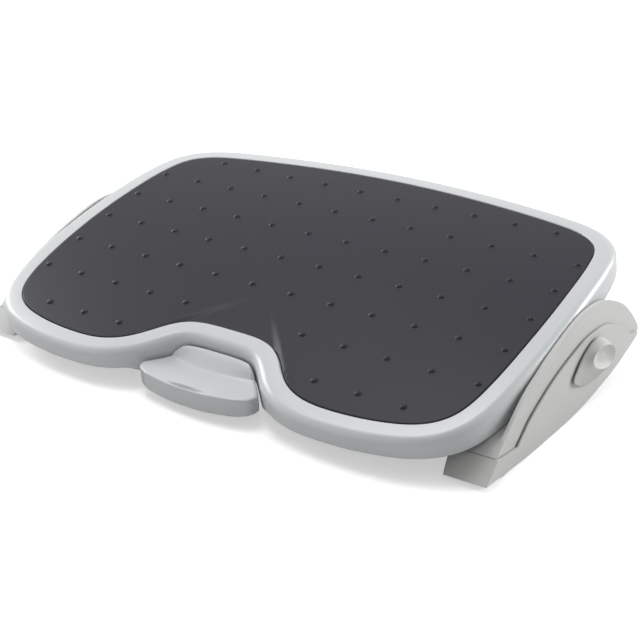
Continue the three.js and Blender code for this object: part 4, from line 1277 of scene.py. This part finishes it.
# Clamp knobs
# Each side is clamped by a leaf shaped knob of the cheeks' plastic, screwed to the pivot rod by a nut inside.
# Its faces slope up from the pointed outline to an oval thumb dish.
knob_foot = 0.2701
knob_rise = 0.011
knob_undercut = 0.0009
knob_tip_rise = 0.005
knob_slope_start = -0.0335
knob_slope_run = 0.042
knob_wall_share = 0.2
knob_foot_scale = 0.93
knob_shoulder = 0.985
knob_back = 0.038
knob_tall = 0.02
knob_shares = [
    (-0.9, -0.27), (-0.76, 0.1), (-0.5, 0.5), (-0.22, 0.77), (0.105, 0.93), (0.32, 0.88), (0.58, 0.63),
    (0.79, 0.325), (0.895, -0.05), (0.87, -0.45), (0.74, -0.73), (0.47, -0.93), (0.1, -1), (-0.32, -0.84),
    (-0.72, -0.6),
]
dish_centre = Vector((0.0056, 0.004))
dish_half_back = 0.0192
dish_half_tall = 0.0104
dish_turn = math.radians(-14.2)
knob_dish_depth = 0.0034
knob_dish_steps = 12
knob_dish_sink = 0.0001
nut_edge = 0.0004
foot_spots = line_spots([(back * knob_back, up * knob_tall) for back, up in knob_shares])
turn_to_dish = Matrix.Rotation(dish_turn, 2)
dish_spots = []
for spot in foot_spots:
    way = turn_to_dish.transposed() @ (spot - dish_centre)
    angle = math.atan2(way.y / dish_half_tall, way.x / dish_half_back)
    on_lip = Vector((dish_half_back * math.cos(angle), dish_half_tall * math.sin(angle)))
    dish_spots.append(dish_centre + turn_to_dish @ on_lip)


def knob_top(spot):
    """How far the knob stands out at the dish's lip: less at the pointed front end, most at the rear."""
    along = (0.97 * spot.x + 0.25 * spot.y - knob_slope_start) / knob_slope_run
    return knob_tip_rise + (knob_rise - knob_tip_rise) * rounded_step(along, crease)


def knob_ring(scale, towards_dish, share, sag=0):
    ring = []
    for foot, dish in zip(foot_spots, dish_spots):
        spot = (foot * scale).lerp(dish, towards_dish)
        height = knob_undercut + (knob_top(spot) - knob_undercut) * share - sag
        ring.append((spot.x, spot.y, height))
    return ring


rings = [[(spot.x * knob_foot_scale, spot.y * knob_foot_scale, 0) for spot in foot_spots]]
for scale, share in ((0.995, 0), (1, 0.25), (1, 0.6), (0.995, 0.82), (knob_shoulder, 1)):
    rings.append(knob_ring(scale, 0, share * knob_wall_share))
for towards in (0.12, 0.25, 0.4, 0.55, 0.7, 0.85, 0.95, 0.985):
    share = knob_wall_share + (1 - knob_wall_share) * min(towards / 0.95, 1)
    rings.append(knob_ring(knob_shoulder, towards, share))
rings.append(knob_ring(knob_shoulder, 1, 1, knob_dish_sink))
for step in range(1, knob_dish_steps + 1):
    inwards = step / knob_dish_steps * 0.985
    sag = knob_dish_depth * math.sin(min(inwards / 0.8, 1) * math.pi / 2)
    spots = [dish.lerp(dish_centre, inwards) for dish in dish_spots]
    rings.append([(spot.x, spot.y, knob_top(spot) - knob_dish_sink - sag) for spot in spots])
knob = swept("thumb_knob_right", rings)
edit_all(knob)
bpy.ops.mesh.fill_holes(sides=0)
close_outwards()
set_down(knob, upright, (knob_foot, pivot.y, pivot.z))
knob_left = mirrored(knob, "thumb_knob_left")
for piece, hand in ((knob, "right"), (knob_left, "left")):
    soften(piece, angle=math.radians(40))
    fit(piece, side_plastic, "knob_" + hand, "knob_" + hand)
    stamped("hex_nut_" + hand, "knob_nut_" + hand, bar_steel, "knob_" + hand, nut_edge)
